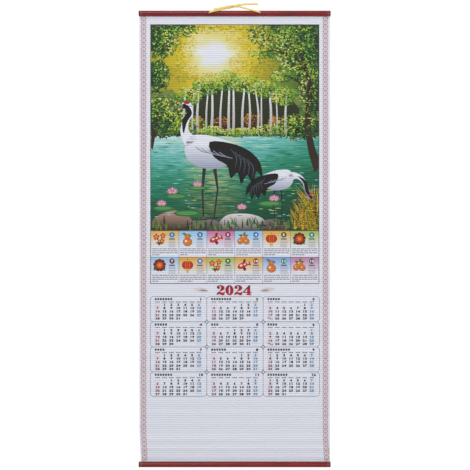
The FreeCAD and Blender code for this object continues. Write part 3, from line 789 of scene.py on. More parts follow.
def numeral(text):
    """The edges of a plain number, one unit tall and centred on its place."""
    if text not in numeral_outlines:
        letters = bpy.data.curves.new("numeral", "FONT")
        letters.body = text
        letters.align_x = "CENTER"
        letters.offset = NUMERAL_WEIGHT
        letters.space_character = NUMERAL_SPACING
        letters.resolution_u = 2
        flat = mesh_from(letters)
        uses = {}
        for polygon in flat.polygons:
            for key in polygon.edge_keys:
                uses[key] = uses.get(key, 0) + 1
        rims = [[flat.vertices[end].co for end in key] for key, count in uses.items() if count == 1]
        low = min(min(a.y, b.y) for a, b in rims)
        high = max(max(a.y, b.y) for a, b in rims)
        numeral_outlines[text] = [[(NUMERAL_STRETCH * point.x / (high - low),
                                    (point.y - (low + high) / 2) / (high - low)) for point in rim]
                                  for rim in rims]
        bpy.data.meshes.remove(flat)
    return numeral_outlines[text]


def print_number(layer, text, x, z, tall, colour):
    """Print a plain number centred at x and z."""
    lines = [[(x + a * tall, z + b * tall) for a, b in rim] for rim in numeral(text)]
    layer.append((upward(lines), linear(colour)))


def fade(top, bottom, colour):
    """Colour at the top of a cell that fades to bare paper further down, in steps even to the eye."""
    full = [channel ** FADE_POWER for channel in linear(colour)]

    def at(x, z):
        share = min(max((top - z) / (top - bottom) / FADE_LENGTH, 0), 1) ** FADE_EASE
        return tuple((channel + (1 - channel) * share) ** (1 / FADE_POWER) for channel in full)

    return at


# The lucky figures, each about 22 mm across and drawn round its own middle: every part is a pass of
# ink, a colour and an outline. Round bodies have a dark rim.
PETAL = [(-0.1, 0.1), (-0.36, 0.6), (-0.2, 1.0), (0.2, 1.0), (0.36, 0.6), (0.1, 0.1)]
LEAF = [(0, 0), (0.5, 0.24), (1.0, 0.0), (0.5, -0.24)]
CARP = [(-10, 1), (-7, 4.5), (-1, 5.5), (5, 3.5), (9, 0.5), (11.5, 4), (12, -0.5), (11, -5), (8, -2.5),
        (3, -2.5), (-3, -3.5), (-8, -2.5)]
CARP_FINS = ([(0, 4), (5, 10), (8, 8), (4, 3)], [(-4, -2), (-2, -9), (2, -8), (2, -2)])
CARP_PATCHES = ((-3.5, 1.8, 2.6, 1.7), (3.0, 1.2, 2.2, 1.3), (8.5, 0.8, 1.2, 1.4))
CARP_TILT = 24


def flower(x, z, petals, size, outer, inner, heart):
    """A flower seen from above: outer petals, a ring of inner ones and a heart."""
    turns = [360 * number / petals for number in range(petals)]
    return ([(table_marks, outer, placed(PETAL, x, z, size, turn=turn)) for turn in turns]
            + [(table_details, inner, placed(PETAL, x, z, 0.66 * size, turn=turn + 180 / petals))
               for turn in turns]
            + [(table_fine, heart, oval(x, z, 0.24 * size, 0.24 * size, steps=12))])


def leaves(x, z, length, turns):
    return [(table_marks, FIGURE_GREEN, placed(LEAF, x, z, length, turn=turn)) for turn in turns]


def ball(x, z, rim, body, colour):
    return [(table_marks, FIGURE_DARK, oval(x, z, *rim)), (table_details, colour, oval(x, z, *body))]


sprig = [(table_marks, FIGURE_DARK, stroke([(-1, -10), (0.3 * x, -4), (x, z)], (1.8, 1.3, 0.9), steps=4))
         for x, z in ((-5, 4), (5, 6), (3, -2))] + leaves(0, -8, 7.5, (20, 150))
for x, z, size in ((-5.5, 4, 5.4), (5.5, 6, 4.8), (4, -2.5, 4.6)):
    sprig += flower(x, z, 5, size, FIGURE_RED, FIGURE_ORANGE, FIGURE_GOLD)
bloom = leaves(0, -2, 12, (-150, -30, 200)) + flower(0, 1, 9, 10.5, FIGURE_DARK, FIGURE_RED, FIGURE_GOLD)
bloom += [(table_fine, FIGURE_ORANGE, placed(PETAL, 0, 1, 4.4, turn=turn)) for turn in range(20, 380, 60)]
carp = [(table_marks, FIGURE_DARK, placed(fin, 0, 0, turn=CARP_TILT)) for fin in CARP_FINS]
carp += [(table_details, FIGURE_RED,
          curve_through(placed(CARP, 0, 0, 1.02, turn=CARP_TILT), closed=True, steps=3))]
carp += [(table_fine, FIGURE_PALE, placed(oval(*patch), 0, 0, turn=CARP_TILT)) for patch in CARP_PATCHES]
carp_eye = placed([(-7.6, 1.6)], 0, 0, turn=CARP_TILT)[0]
carp += [(table_fine, FIGURE_DARK, oval(*carp_eye, 0.9, 0.9, steps=10))]
lantern = ball(0, 1, (9.5, 7.6), (8.6, 6.8), FIGURE_RED)
lantern += [(table_fine, FIGURE_ORANGE, oval(0.6 * rib, 1, 0.3 + 0.06 * abs(rib), 6.4, steps=16))
            for rib in (-5.4, 0.0, 5.4)]
lantern += [(table_fine, FIGURE_GOLD, rectangle(-4, 4, cap, cap + 1.7)) for cap in (7.4, -6.6)]
lantern += [(table_fine, FIGURE_DARK, rectangle(-0.4, 0.4, 9.1, 11.5))]
lantern += [(table_fine, FIGURE_ORANGE, rectangle(thread - 0.5, thread + 0.5, -12, -6.6))
            for thread in (-2.0, 0.0, 2.0)]
fruit = leaves(0, 5, 9, (15, 70, 160))
for x, z in ((-5, -3), (5, -3.5), (0.5, 3)):
    fruit += ball(x, z, (5.4, 5.2), (4.8, 4.6), FIGURE_ORANGE)
    fruit += [(table_fine, FIGURE_PALE, oval(x - 1.4, z + 1.6, 1.3, 1.0, turn=35))]
gourd = leaves(-1, 8, 9, (-20, 165)) + ball(0, -4.5, (7.8, 6.9), (7.1, 6.2), FIGURE_ORANGE)
gourd += ball(-0.4, 4.4, (4.7, 4.4), (4.1, 3.8), FIGURE_ORANGE)
gourd += [(table_fine, FIGURE_RED, rectangle(-3.6, 3.0, 0.2, 1.5)),
          (table_fine, FIGURE_PALE, oval(-2.6, -2.8, 1.8, 2.4, turn=-20))]
FIGURES = {"sprig": sprig, "bloom": bloom, "carp": carp, "lantern": lantern, "fruit": fruit,
           "gourd": gourd}

cell_draws = random.Random(5)
for row in range(2):
    cell_top, cell_foot = TABLE_LEVELS[row], TABLE_LEVELS[row + 1]
    for column in range(CELL_COLUMNS):
        left = PICTURE_LEFT + column * CELL_WIDTH
        number = row * CELL_COLUMNS + column + 1
        ink(table_ground, [rectangle(left, left + CELL_WIDTH, cell_foot, cell_top)],
            fade(cell_top, cell_foot, CELL_TOPS[row][column]))
        for layer, colour, outline in FIGURES[FIGURE_ORDER[row][column]]:
            ink(layer, [placed(outline, left + FIGURE_PLACE[0], cell_top - FIGURE_PLACE[1])], colour)
        disc_x, disc_z = left + DISC_PLACE[0], cell_top - DISC_PLACE[1]
        ink(table_marks, [oval(disc_x, disc_z, DISC_RADIUS, DISC_RADIUS, steps=24)],
            DISC_COLOURS[row][column])
        print_number(table_details, str(number), disc_x, disc_z, DISC_NUMBER, "#FFFFFF")
        ink(table_marks, [rectangle(disc_x - HEADING_REACH[0], disc_x + HEADING_REACH[1],
                                    cell_top - HEADING_FOOT, cell_top - HEADING_TOP)], HEADING_GREY)
        for line in range(NOTE_LINES):
            z = cell_top - NOTE_TOP - NOTE_PITCH * line
            line_end = left + NOTE_RIGHT - cell_draws.uniform(0, NOTE_RAGGEDNESS)
            ink(table_marks, [rectangle(left + NOTE_LEFT, line_end, z - NOTE_HALF, z + NOTE_HALF)],
                NOTE_GREY)
        for line in range(TEXT_LINES):
            z = cell_top - TEXT_TOP - TEXT_PITCH * line
            line_x, line_end = left + TEXT_MARGIN, left + CELL_WIDTH - TEXT_MARGIN
            if line == TEXT_LINES - 1:
                line_end = left + cell_draws.uniform(*LAST_LINE_SHARES) * CELL_WIDTH
            while line_x < line_end - WORD_GAP:
                word_end = min(line_x + cell_draws.uniform(*WORD_LENGTHS), line_end)
                ink(table_marks, [rectangle(line_x, word_end, z - TEXT_HALF, z + TEXT_HALF)], TEXT_GREY)
                line_x = word_end + WORD_GAP
for column in range(1, CELL_COLUMNS):
    x = PICTURE_LEFT + column * CELL_WIDTH
    ink(table_details, [rectangle(x - CELL_LINE_WIDTH / 2, x + CELL_LINE_WIDTH / 2, TABLE_LEVELS[2],
                                  TABLE_LEVELS[0])], CELL_LINE)
frame_left, frame_right = PICTURE_LEFT - TABLE_LINE_WIDTH, PICTURE_RIGHT + TABLE_LINE_WIDTH
frame_foot = TABLE_LEVELS[2] - TABLE_LINE_WIDTH / 2
for level, width in zip(TABLE_LEVELS, (ROW_LINE_WIDTH, ROW_LINE_WIDTH, TABLE_LINE_WIDTH)):
    ink(table_fine, [rectangle(PICTURE_LEFT, PICTURE_RIGHT, level - width / 2, level + width / 2)],
        TABLE_LINE)
ink(table_fine, [rectangle(frame_left, frame_right, PICTURE_TOP, PICTURE_TOP + TABLE_LINE_WIDTH)],
    TABLE_LINE)
for side in (frame_left, PICTURE_RIGHT):
    ink(table_fine, [rectangle(side, side + TABLE_LINE_WIDTH, frame_foot, PICTURE_TOP)], TABLE_LINE)
print_passes(1, table=table_ground, table_marks=table_marks, table_details=table_details,
             table_fine=table_fine)

# The year, in the fat numerals of old almanacs: crimson on a dark edge, with a pale glow round it and
# a small leaf on either side. The numerals are drawn here, 100 units tall, as plain outlines.
YEAR = 2024
YEAR_LEFT, YEAR_FOOT = -29.5, -470.4
YEAR_TALL = 15.8
YEAR_PITCH = 14.75
YEAR_RED, YEAR_DEEP, YEAR_EDGE, YEAR_GLOW = "#DE2233", "#A81A2A", "#3E0C16", "#FFEFF0"
YEAR_LEAF_PALE, YEAR_LEAF_DEEP, YEAR_LEAF_VEIN = "#F3E9E1", "#D6C8BE", "#8C8078"
YEAR_LEAVES = ((-55.5, 1), (54.5, -1))
YEAR_LEAF_Z = -462.3
LEAF_OUTER = [(-13, 2.2), (-7, 4.3), (0, 4.6), (7, 2.8), (12.5, -1.0), (7, -3.6), (0, -3.8), (-7, -1.6)]
LEAF_INNER = [(-4, 1.2), (2, 1.9), (7, 0.6), (11, -1.4), (6, -2.0), (0, -1.6)]
FAT_ZERO = [oval(42, 50, 41, 51, steps=36), oval(42, 50, 10, 44, steps=28)]
FAT_TWO = [(3, 0), (13, 7), (26, 9), (40, 4), (56, -2), (70, -1), (80, 10), (84, 32), (79, 32), (74, 24),
           (64, 21), (50, 24), (36, 29), (22, 28), (30, 36), (48, 44), (68, 54), (80, 66), (80, 82),
           (68, 95), (46, 101), (22, 98), (7, 88), (4, 76), (12, 66), (26, 66), (33, 75), (30, 85),
           (24, 91), (34, 95), (44, 91), (49, 80), (48, 66), (42, 52), (30, 39), (14, 25), (3, 12)]
FAT_FOUR = [[(36, 0), (84, 0), (84, 5), (72, 7), (72, 23), (86, 23), (86, 31), (72, 31), (72, 101),
             (62, 101), (0, 32), (0, 23), (44, 23), (44, 7), (36, 5)], [(44, 31), (44, 70), (9, 31)]]
FAT_NUMERALS = {"0": FAT_ZERO, "2": [curve_through(FAT_TWO, closed=True, steps=3)], "4": FAT_FOUR}


def grown(outline, by):
    """An outline moved outwards by a distance, corner by corner."""
    area = sum(x0 * z1 - x1 * z0 for (x0, z0), (x1, z1) in zip(outline, outline[1:] + outline[:1]))
    side = 1 if area > 0 else -1
    moved = []
    for index, (x, z) in enumerate(outline):
        (x0, z0), (x1, z1) = outline[index - 1], outline[(index + 1) % len(outline)]
        length = math.hypot(x1 - x0, z1 - z0) or 1.0
        moved.append((x + side * by * (z1 - z0) / length, z - side * by * (x1 - x0) / length))
    return moved


glow_inks, edge_inks, year_inks = [], [], []
body_red = between(YEAR_FOOT, YEAR_FOOT + YEAR_TALL, YEAR_RED, YEAR_DEEP)
for place, figure in enumerate(str(YEAR)):
    for layer, by, shift, colour in ((glow_inks, 9, 0, YEAR_GLOW), (edge_inks, 1.0, -4, YEAR_EDGE),
                                     (year_inks, -1.0, 0, body_red)):
        outlines = FAT_NUMERALS[figure][:1] if layer is glow_inks else FAT_NUMERALS[figure]
        x = YEAR_LEFT + place * YEAR_PITCH + 0.01 * shift * YEAR_TALL
        z = YEAR_FOOT - 0.01 * shift * YEAR_TALL
        ink(layer, [placed(grown(outline, -by if hole else by), x, z, 0.01 * YEAR_TALL)
                    for hole, outline in enumerate(outlines)], colour)
leaf_parts = ((glow_inks, YEAR_LEAF_PALE, curve_through(LEAF_OUTER, closed=True, steps=3)),
              (edge_inks, YEAR_LEAF_DEEP, curve_through(LEAF_INNER, closed=True, steps=3)),
              (year_inks, YEAR_LEAF_VEIN, stroke([(-1, 0.2), (4, 0.0), (9, -1.0)], (0.4, 1.5, 0.5))))
for leaf_x, flip in YEAR_LEAVES:
    for layer, colour, outline in leaf_parts:
        ink(layer, [placed(outline, leaf_x, YEAR_LEAF_Z, 1, flip)], colour)
print_passes(1, year_glow=glow_inks, year_edge=edge_inks, year=year_inks)

# The twelve months: a grid of thin blue-grey cells with rounded corners, and a small ring wherever
# four of them meet. Sundays are red, Saturdays blue and other days black, and what would run into a
# sixth week shares a place in the fifth. Small blocks stand for the names of months and weekdays.
MONTH_LEFT, MONTH_RIGHT = -140.7, 141.7
MONTH_LEVELS = (-472.4, -514.9, -556.8, -598.7, -639.4)
MONTH_COLUMNS = 3
MONTH_WIDTH = (MONTH_RIGHT - MONTH_LEFT) / MONTH_COLUMNS
MONTH_LINE_WIDTH = 0.75
MONTH_CORNER = 5.4
DAY_PITCH = 11.55
DAY_MARGIN = 11.9
WEEK_DROPS = (14.0, 19.4, 25.2, 31.2, 36.9)
DAY_TALL = 4.0
MONTH_LINE = "#74828C"
DAY_BLACK, DAY_RED, DAY_BLUE = "#0E0D12", "#7E4A52", "#7890A2"
SUNDAY_TINT, SATURDAY_TINT = "#FDF6F7", "#F2F9FD"
HEAD_GREY = "#5E5C66"
NAME_BLOCKS = (7, 8, 5, 5, 3, 4, 4, 6, 9, 7, 8, 8)
NAME_GREY = "#45424C"
# Places in a month, from its left side or right side and its top.
NAME_LEFT, NAME_TOP, NAME_FOOT, NAME_PITCH, NAME_WIDTH = 7.4, 2.8, 6.3, 4.3, 3.0
MONTH_NUMBER_RIGHT, MONTH_NUMBER_DROP, MONTH_NUMBER_TALL = 10.0, 4.7, 4.4
HEAD_TOP, HEAD_FOOT, HEAD_HALF, HEAD_OFFSETS = 8.7, 10.2, 1.0, (-2.7, 0.0, 2.7)
TINT_HALF_WIDTH, TINT_TOP, TINT_FOOT_GAP = 5.2, 11.5, 2.5
SHARED_SIZE, SHARED_ASIDE, SHARED_DOWN = 0.6, 2.3, 1.0
SLASH_REACH, SLASH_RISE, SLASH_WIDTH = 1.2, 2.0, 0.35
RING_RADII = (2.3, 1.6)
month_tints, month_lines, day_inks, sunday_inks, saturday_inks = [], [], [], [], []
WEEKDAY_INKS = {0: (sunday_inks, DAY_RED), 6: (saturday_inks, DAY_BLUE)}


def rounded(x0, x1, z0, z1, corner, steps=6):
    """A rectangle with round corners."""
    rim = []
    for centre_x, centre_z, start in ((x1 - corner, z1 - corner, 0), (x0 + corner, z1 - corner, 90),
                                      (x0 + corner, z0 + corner, 180), (x1 - corner, z0 + corner, 270)):
        for step in range(steps + 1):
            angle = math.radians(start + 90 * step / steps)
            rim.append((centre_x + corner * math.cos(angle), centre_z + corner * math.sin(angle)))
    return rim


for month in range(1, 13):
    column, row = (month - 1) % MONTH_COLUMNS, (month - 1) // MONTH_COLUMNS
    left, top, foot = MONTH_LEFT + column * MONTH_WIDTH, MONTH_LEVELS[row], MONTH_LEVELS[row + 1]
    half_line = MONTH_LINE_WIDTH / 2
    sides = [rounded(left - out, left + MONTH_WIDTH + out, foot - out, top + out, MONTH_CORNER + out)
             for out in (half_line, -half_line)]
    ink(month_lines, sides, MONTH_LINE)
    first_day = left + DAY_MARGIN
    for weekday, tint in ((0, SUNDAY_TINT), (6, SATURDAY_TINT)):
        x = first_day + weekday * DAY_PITCH
        ink(month_tints, [rectangle(x - TINT_HALF_WIDTH, x + TINT_HALF_WIDTH, foot + TINT_FOOT_GAP,
                                    top - TINT_TOP)], tint)
    for block in range(NAME_BLOCKS[month - 1]):
        x = left + NAME_LEFT + NAME_PITCH * block
        ink(day_inks, [rectangle(x, x + NAME_WIDTH, top - NAME_FOOT, top - NAME_TOP)], NAME_GREY)
    print_number(day_inks, str(month), left + MONTH_WIDTH - MONTH_NUMBER_RIGHT, top - MONTH_NUMBER_DROP,
                 MONTH_NUMBER_TALL, DAY_BLACK)
    for weekday in range(7):
        for offset in HEAD_OFFSETS:
            x = first_day + weekday * DAY_PITCH + offset
            ink(day_inks, [rectangle(x - HEAD_HALF, x + HEAD_HALF, top - HEAD_FOOT, top - HEAD_TOP)],
                HEAD_GREY)
    weeks = calendar.Calendar(calendar.SUNDAY).monthdayscalendar(YEAR, month)
    for week, days in enumerate(weeks):
        for weekday, day in enumerate(days):
            if not day:
                continue
            x, z = first_day + weekday * DAY_PITCH, top - WEEK_DROPS[min(week, 4)]
            day_ink, shade = WEEKDAY_INKS.get(weekday, (day_inks, DAY_BLACK))
            shared = len(weeks) > 5 and (week == 5 or week == 4 and weeks[5][weekday])
            if not shared:
                print_number(day_ink, str(day), x, z, DAY_TALL, shade)
            else:
                side = 1 if week == 5 else -1
                print_number(day_ink, str(day), x + SHARED_ASIDE * side, z - SHARED_DOWN * side,
                             SHARED_SIZE * DAY_TALL, shade)
                if week == 5:
                    slash = stroke([(x - SLASH_REACH, z - SLASH_RISE), (x + SLASH_REACH, z + SLASH_RISE)],
                                   (SLASH_WIDTH, SLASH_WIDTH), smooth=False)
                    ink(day_ink, [slash], shade)
for column in range(1, MONTH_COLUMNS):
    for level in MONTH_LEVELS[1:4]:
        x = MONTH_LEFT + column * MONTH_WIDTH
        ink(month_lines, [oval(x, level, radius, radius) for radius in RING_RADII], MONTH_LINE)
print_passes(1, month_tints=month_tints, month_lines=month_lines)
print_passes(2, days=day_inks)
print_passes(2, sundays=sunday_inks)
print_passes(2, saturdays=saturday_inks)

# The rails: two lengths of extruded polystyrene, maroon all through, with a flat back and a half-round
# front. The mat's hems slide in behind their lips from one end. They shine, the die has left fine
# lines along them, and their ends are scuffed paler, where the caps were pushed in.
RAIL_MAROON, RAIL_DARK, RAIL_SCUFFED = "#841317", "#660B0E", "#8E4A44"
SCUFF_LENGTH_MM = 5.0
DIE_LINE_MM = 0.6
DIE_LINE_DRAWN_OUT = 250.0
DIE_LINE_DEPTH_MM = 0.03
RAIL_CLOUD_MM = 40
RAIL_IOR, RAIL_GLOSS = 1.59, 0.2
RAIL_ROUGHNESS = (0.15, 0.24)


def give_material(material, names):
    """Give solids of the calendar a material in place of their own."""
    for name in names:
        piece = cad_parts[name]
        piece.data.materials.clear()
        piece.data.materials.append(material)


rail_plastic, tree, rail_shader = new_material("extruded_polystyrene", RAIL_ROUGHNESS[1], RAIL_IOR)
place = add_node(tree, "TexCoord").outputs["Object"]
along = add_node(tree, "Mapping", {"Vector": place, "Scale": (1 / DIE_LINE_DRAWN_OUT, 1.0, 1.0)})
die_lines = add_node(tree, "TexNoise", {"Vector": along, "Scale": 1 / (DIE_LINE_MM * MM), "Detail": 2.0})
clouding = add_node(tree, "TexNoise", {"Vector": place, "Scale": 1 / (RAIL_CLOUD_MM * MM), "Detail": 3.0})
blend = add_node(tree, "Math", {0: die_lines, 1: clouding}, operation="MULTIPLY")
mix = add_node(tree, "MapRange", {"Value": blend, "From Min": 0.12, "From Max": 0.38})
rail_colour = add_node(tree, "MixRGB", {"Fac": mix, "Color1": linear(RAIL_DARK),
                                        "Color2": linear(RAIL_MAROON)})
along_rail = add_node(tree, "SeparateXYZ", {"Vector": place}).outputs["X"]
from_middle = add_node(tree, "Math", {0: along_rail}, operation="ABSOLUTE")
rail_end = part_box("top_rail")[1][0]
scuffed = add_node(tree, "MapRange", {"Value": from_middle, "From Min": rail_end - SCUFF_LENGTH_MM * MM,
                                      "From Max": rail_end - 0.3 * SCUFF_LENGTH_MM * MM, "To Max": 0.5})
end_colour = add_node(tree, "MixRGB", {"Fac": scuffed, "Color1": rail_colour,
                                       "Color2": linear(RAIL_SCUFFED)})
dull = add_node(tree, "MapRange", {"Value": clouding, "From Min": 0.3, "From Max": 0.7,
                                   "To Min": RAIL_ROUGHNESS[0], "To Max": RAIL_ROUGHNESS[1]})
bump = add_node(tree, "Bump", {"Height": die_lines, "Strength": 0.15, "Distance": DIE_LINE_DEPTH_MM * MM})
feed(tree, rail_shader, {"Base Color": end_colour, "Roughness": dull, "Specular IOR Level": RAIL_GLOSS,
                         "Normal": bump})
give_material(rail_plastic, ("top_rail", "bottom_rail"))

# The end caps: polyethylene, injection moulded in a dark brown, pushed on to the rails' ends. They are
# softer than the rails to the eye, with the faint grain of a spark-eroded mould.
CAP_BROWN, CAP_WORN = "#3E1A18", "#562824"
CAP_GRAIN_MM = 0.35
CAP_GRAIN_DEPTH_MM = 0.04
CAP_WEAR_MM = 5
CAP_ROUGHNESS, CAP_IOR, CAP_GLOSS = 0.42, 1.51, 0.2

cap_plastic, tree, cap_shader = new_material("moulded_polyethylene", CAP_ROUGHNESS, CAP_IOR)
place = add_node(tree, "TexCoord").outputs["Object"]
grain = add_node(tree, "TexNoise", {"Vector": place, "Scale": 1 / (CAP_GRAIN_MM * MM), "Detail": 3.0})
wear = add_node(tree, "TexNoise", {"Vector": place, "Scale": 1 / (CAP_WEAR_MM * MM), "Detail": 3.0})
mix = add_node(tree, "MapRange", {"Value": wear, "From Min": 0.4, "From Max": 0.7})
cap_colour = add_node(tree, "MixRGB", {"Fac": mix, "Color1": linear(CAP_BROWN),
                                       "Color2": linear(CAP_WORN)})
bump = add_node(tree, "Bump", {"Height": grain, "Strength": 0.2, "Distance": CAP_GRAIN_DEPTH_MM * MM})
feed(tree, cap_shader, {"Base Color": cap_colour, "Specular IOR Level": CAP_GLOSS, "Normal": bump})
give_material(cap_plastic, ("top_left_end_cap", "top_right_end_cap", "bottom_left_end_cap",
                            "bottom_right_end_cap"))

# The hanging cord: one length of gold three-strand twisted cord. It lies inside the top rail, comes out
# of the front through a hole on each side, and its two ends are tied in a small knot above the middle.
# Here each end, from the rail's hollow to its tip, is a piece, and so is the straight part inside.
CORD_DIAMETER = 2.8 * MM
CORD_TWIST = 5.2 * MM
CORD_RING_GAP = 0.35 * MM
CORD_SIDES = 24
STRANDS = 3
KNOT_CENTRE = Vector((4.6, -5.6, 12.2)) * MM
KNOT_AXIS = Vector((0.98, 0.0, 0.2)).normalized()
KNOT_TURNS = 2.2
KNOT_RADIUS = 1.5 * MM
KNOT_PITCH = 0.92 * CORD_DIAMETER
KNOT_STEPS = 90
STRAND_RELIEF = 0.2
LEFT_EXIT, RIGHT_EXIT = (-42.0, -9.0, 0.8), (42.0, -9.0, 0.8)
INSIDE_ROUTE = [(-18.0, -6.1, 1.0), (0.0, -6.1, 1.15), (18.0, -6.1, 1.0)]
LEFT_ROUTE = [(-18.0, -6.1, 1.0), (-33.5, -5.95, 0.8), (-42.0, -5.85, 0.7), (-42.0, -11.5, 0.9),
              (-32.5, -10.5, 3.2), (-19.5, -8.4, 6.3), (-4.5, -5.2, 9.8), (7.5, -4.2, 13.6),
              (23.5, -4.4, 16.1), (38.7, -5.0, 15.3)]
RIGHT_ROUTE = [(18.0, -6.1, 1.0), (33.5, -5.95, 0.8), (42.0, -5.85, 0.7), (42.0, -11.5, 0.9),
               (32.5, -10.5, 3.5), (21.0, -8.6, 6.8), (12.0, -7.4, 9.3), (4.0, -6.9, 12.0),
               (-5.5, -7.2, 12.1), (-14.5, -8.6, 10.1), (-22.5, -9.6, 8.2), (-29.5, -10.2, 6.5),
               (-35.0, -10.2, 5.4)]

cord_gold, tree, cord_shader = new_material("twisted_gold_rayon", 0.42, ior=1.53)


def centreline(name, route):
    """Points along a route's smooth line, close together, in metres."""
    line = bpy.data.curves.new(name, "CURVE")
    line.dimensions = "3D"
    line.resolution_u = 24
    spline = line.splines.new("NURBS")
    spline.points.add(len(route) - 1)
    for point, place in zip(spline.points, route):
        point.co = (*(Vector(place) * MM), 1.0)
    spline.order_u = 3
    spline.use_endpoint_u = True
    flat = mesh_from(line)
    points = [vertex.co.copy() for vertex in flat.vertices]
    points = [point for before, point in zip([None] + points, points)
              if before is None or (point - before).length > 0.02 * MM]
    bpy.data.meshes.remove(flat)
    return points


def evenly(points, gap):
    """The same line with points a gap apart."""
    found, over = [points[0]], 0.0
    for start, end in zip(points, points[1:]):
        length = (end - start).length
        at = gap - over
        while at < length:
            found.append(start.lerp(end, at / length))
            at += gap
        over = length - (at - gap)
    if (points[-1] - found[-1]).length > 0.3 * gap:
        found.append(points[-1])
    return found


def twisted_cord(name, points):
    """A three-lobed tube along a line, its lobes winding round it, cut flat at each end."""
    rings, faces = [], []
    ahead = (points[1] - points[0]).normalized()
    side = ahead.orthogonal().normalized()
    along = 0.0
    for index, point in enumerate(points):
        before, after = points[max(index - 1, 0)], points[min(index + 1, len(points) - 1)]
        direction = (after - before).normalized()
        side = (side - direction * side.dot(direction)).normalized()
        other = direction.cross(side)
        if index:
            along += (point - points[index - 1]).length
        for corner in range(CORD_SIDES):
            angle = math.tau * corner / CORD_SIDES
            lobe = abs(math.cos(STRANDS / 2 * (angle - math.tau * along / (CORD_TWIST * STRANDS))))
            reach = CORD_DIAMETER / 2 * (1 - STRAND_RELIEF + STRAND_RELIEF * lobe)
            rings.append(point + reach * (side * math.cos(angle) + other * math.sin(angle)))
    for ring in range(len(points) - 1):
        for corner in range(CORD_SIDES):
            here, there = ring * CORD_SIDES + corner, ring * CORD_SIDES + (corner + 1) % CORD_SIDES
            faces.append((here, there, there + CORD_SIDES, here + CORD_SIDES))
    faces.append(tuple(reversed(range(CORD_SIDES))))
    faces.append(tuple((len(points) - 1) * CORD_SIDES + corner for corner in range(CORD_SIDES)))
    cord = make_mesh(name, [ring / MM for ring in rings], faces, smooth_angle=60)
    cord.data.materials.append(cord_gold)
    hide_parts("hanging_cord")
    return cord


knot_side = KNOT_AXIS.orthogonal().normalized()
knot_other = KNOT_AXIS.cross(knot_side)
knot_line = []
for step in range(KNOT_STEPS):
    turn = KNOT_TURNS * step / (KNOT_STEPS - 1)
    angle = math.tau * turn
    knot_line.append(KNOT_CENTRE + KNOT_AXIS * (turn - KNOT_TURNS / 2) * KNOT_PITCH
                     + KNOT_RADIUS * (knot_side * math.cos(angle) + knot_other * math.sin(angle)))
knot = twisted_cord("cord_knot", evenly(knot_line, CORD_RING_GAP))
twisted_cord("cord_inside_rail", evenly(centreline("inside", INSIDE_ROUTE), CORD_RING_GAP))
for name, route, leaves, pieces in (("cord_left", LEFT_ROUTE, LEFT_EXIT, [knot]),
                                    ("cord_right", RIGHT_ROUTE, RIGHT_EXIT, [])):
    line = centreline(name + "_route", route)
    cord = twisted_cord(name, evenly(line, CORD_RING_GAP))
    length = sum((after - before).length for before, after in zip(line, line[1:]))
    Vector(leaves) * MM
    [tuple(point) for point in line]
    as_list(pieces)

# Rayon cord: smooth bright gold threads with a soft sheen, and a painted shade in the hollows where the
# strands meet.
GOLD_BRIGHT, GOLD_DEEP = "#EBD26C", "#86692A"
THREAD_MM = 0.28
THREAD_DEPTH_MM = 0.05
place = add_node(tree, "TexCoord").outputs["Object"]
threads = add_node(tree, "TexNoise", {"Vector": place, "Scale": 1 / (THREAD_MM * MM), "Detail": 2.0})
# Painted shade: the colour runs to GOLD_DEEP in the hollows between the strands, and some threads are
# darker at random.
hollows = add_node(tree, "NewGeometry").outputs["Pointiness"]
raised = add_node(tree, "MapRange", {"Value": hollows, "From Min": 0.46, "From Max": 0.52})
lift = add_node(tree, "Math", {0: threads, 1: 0.5, 2: raised}, operation="MULTIPLY_ADD")
shade = add_node(tree, "MapRange", {"Value": lift, "From Min": 0.2, "From Max": 1.0})
cord_colour = add_node(tree, "MixRGB", {"Fac": shade, "Color1": linear(GOLD_DEEP),
                                        "Color2": linear(GOLD_BRIGHT)})
bump = add_node(tree, "Bump", {"Height": threads, "Strength": 0.3, "Distance": THREAD_DEPTH_MM * MM})
feed(tree, cord_shader, {"Base Color": cord_colour, "Sheen Weight": 0.3, "Normal": bump})

# The room: the calendar hangs in front of an even white, lit softly from above and the front. Rays that
# the camera, a gloss or a clear thing sends out see it at full white; what lights the calendar is less.
CAMERA_DISTANCE = 2.18
PIXEL_MM = 1.6722
PHOTO_WIDTH_MM = 470 * PIXEL_MM
SENSOR_MM = 36.0
AIM = (0.6 * MM, -369.9 * MM)
WHITE = (1.0, 1.0, 1.0, 1.0)
SKY_LIGHT = 0.48
FLOOR_DROP = -0.93
FLOOR_HALF = 6
FLOOR_PAINT = (0.86, 0.86, 0.86, 1.0)
FLOOR_GLOW_SHARE = 0.8
FLOOR_GLOW = 1.17

camera_data = bpy.data.cameras.new("camera")
camera = bpy.data.objects.new("camera", camera_data)
camera.location = (AIM[0], -CAMERA_DISTANCE, AIM[1])
camera.rotation_euler = (math.radians(90), 0, 0)
camera_data.sensor_width = SENSOR_MM
camera_data.lens = SENSOR_MM * CAMERA_DISTANCE / (PHOTO_WIDTH_MM * MM)
bpy.context.scene.collection.objects.link(camera)
bpy.context.scene.camera = camera


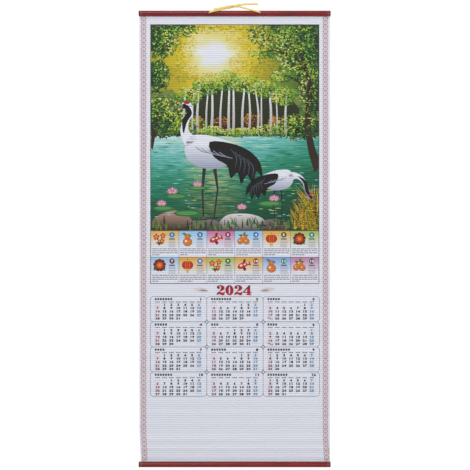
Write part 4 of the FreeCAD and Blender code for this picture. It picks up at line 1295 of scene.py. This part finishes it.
def seen_directly(tree):
    """One for rays that show the surroundings, none for rays that light the calendar."""
    rays = add_node(tree, "LightPath")
    seen = add_node(tree, "Math", {0: rays.outputs["Is Camera Ray"], 1: rays.outputs["Is Glossy Ray"]},
                    operation="MAXIMUM")
    return add_node(tree, "Math", {0: seen, 1: rays.outputs["Is Transmission Ray"]}, operation="MAXIMUM")


world = bpy.data.worlds.new("room")
world.use_nodes = True
bpy.context.scene.world = world
sky = world.node_tree
strength = add_node(sky, "Math", {0: seen_directly(sky), 1: 1 - SKY_LIGHT, 2: SKY_LIGHT},
                    operation="MULTIPLY_ADD")
feed(sky, sky.nodes["Background"], {"Color": WHITE, "Strength": strength})

floor_mesh = bpy.data.meshes.new("floor")
floor_mesh.from_pydata([(FLOOR_HALF * x, FLOOR_HALF * y, FLOOR_DROP)
                        for x, y in ((-1, -1), (1, -1), (1, 1), (-1, 1))], [], [(0, 1, 2, 3)])
floor = bpy.data.objects.new("floor", floor_mesh)
bpy.context.scene.collection.objects.link(floor)
floor_paint, tree, floor_shader = new_material("matt_white_floor", 0.9)
feed(tree, floor_shader, {"Base Color": FLOOR_PAINT})
glow_share = add_node(tree, "Math", {0: seen_directly(tree), 1: FLOOR_GLOW_SHARE}, operation="MULTIPLY")
glow = add_node(tree, "Emission", {"Color": WHITE, "Strength": FLOOR_GLOW})
floor_mix = add_node(tree, "MixShader", {0: glow_share, 1: floor_shader, 2: glow})
feed(tree, tree.nodes["Material Output"], {"Surface": floor_mix})
floor_mesh.materials.append(floor_paint)


def soft_lamp(name, place, target, size, power):
    """A large square lamp that looks at a point of the object."""
    lamp_data = bpy.data.lights.new(name, "AREA")
    lamp_data.size = size
    lamp_data.energy = power
    lamp = bpy.data.objects.new(name, lamp_data)
    lamp.location = place
    lamp.rotation_euler = (Vector(target) - Vector(place)).to_track_quat("-Z", "Y").to_euler()
    bpy.context.scene.collection.objects.link(lamp)


soft_lamp("key_lamp", (-0.5, -2.0, 1.2), (0.0, 0.0, -0.35), 1.2, 26.0)
soft_lamp("fill_lamp", (0.9, -2.2, -0.2), (0.0, 0.0, -0.4), 1.6, 10.5)
soft_lamp("back_lamp", (0.3, 2.0, 1.0), (0.0, 0.0, -0.4), 1.6, 12.0)
bpy.context.scene.view_settings.view_transform = "Standard"
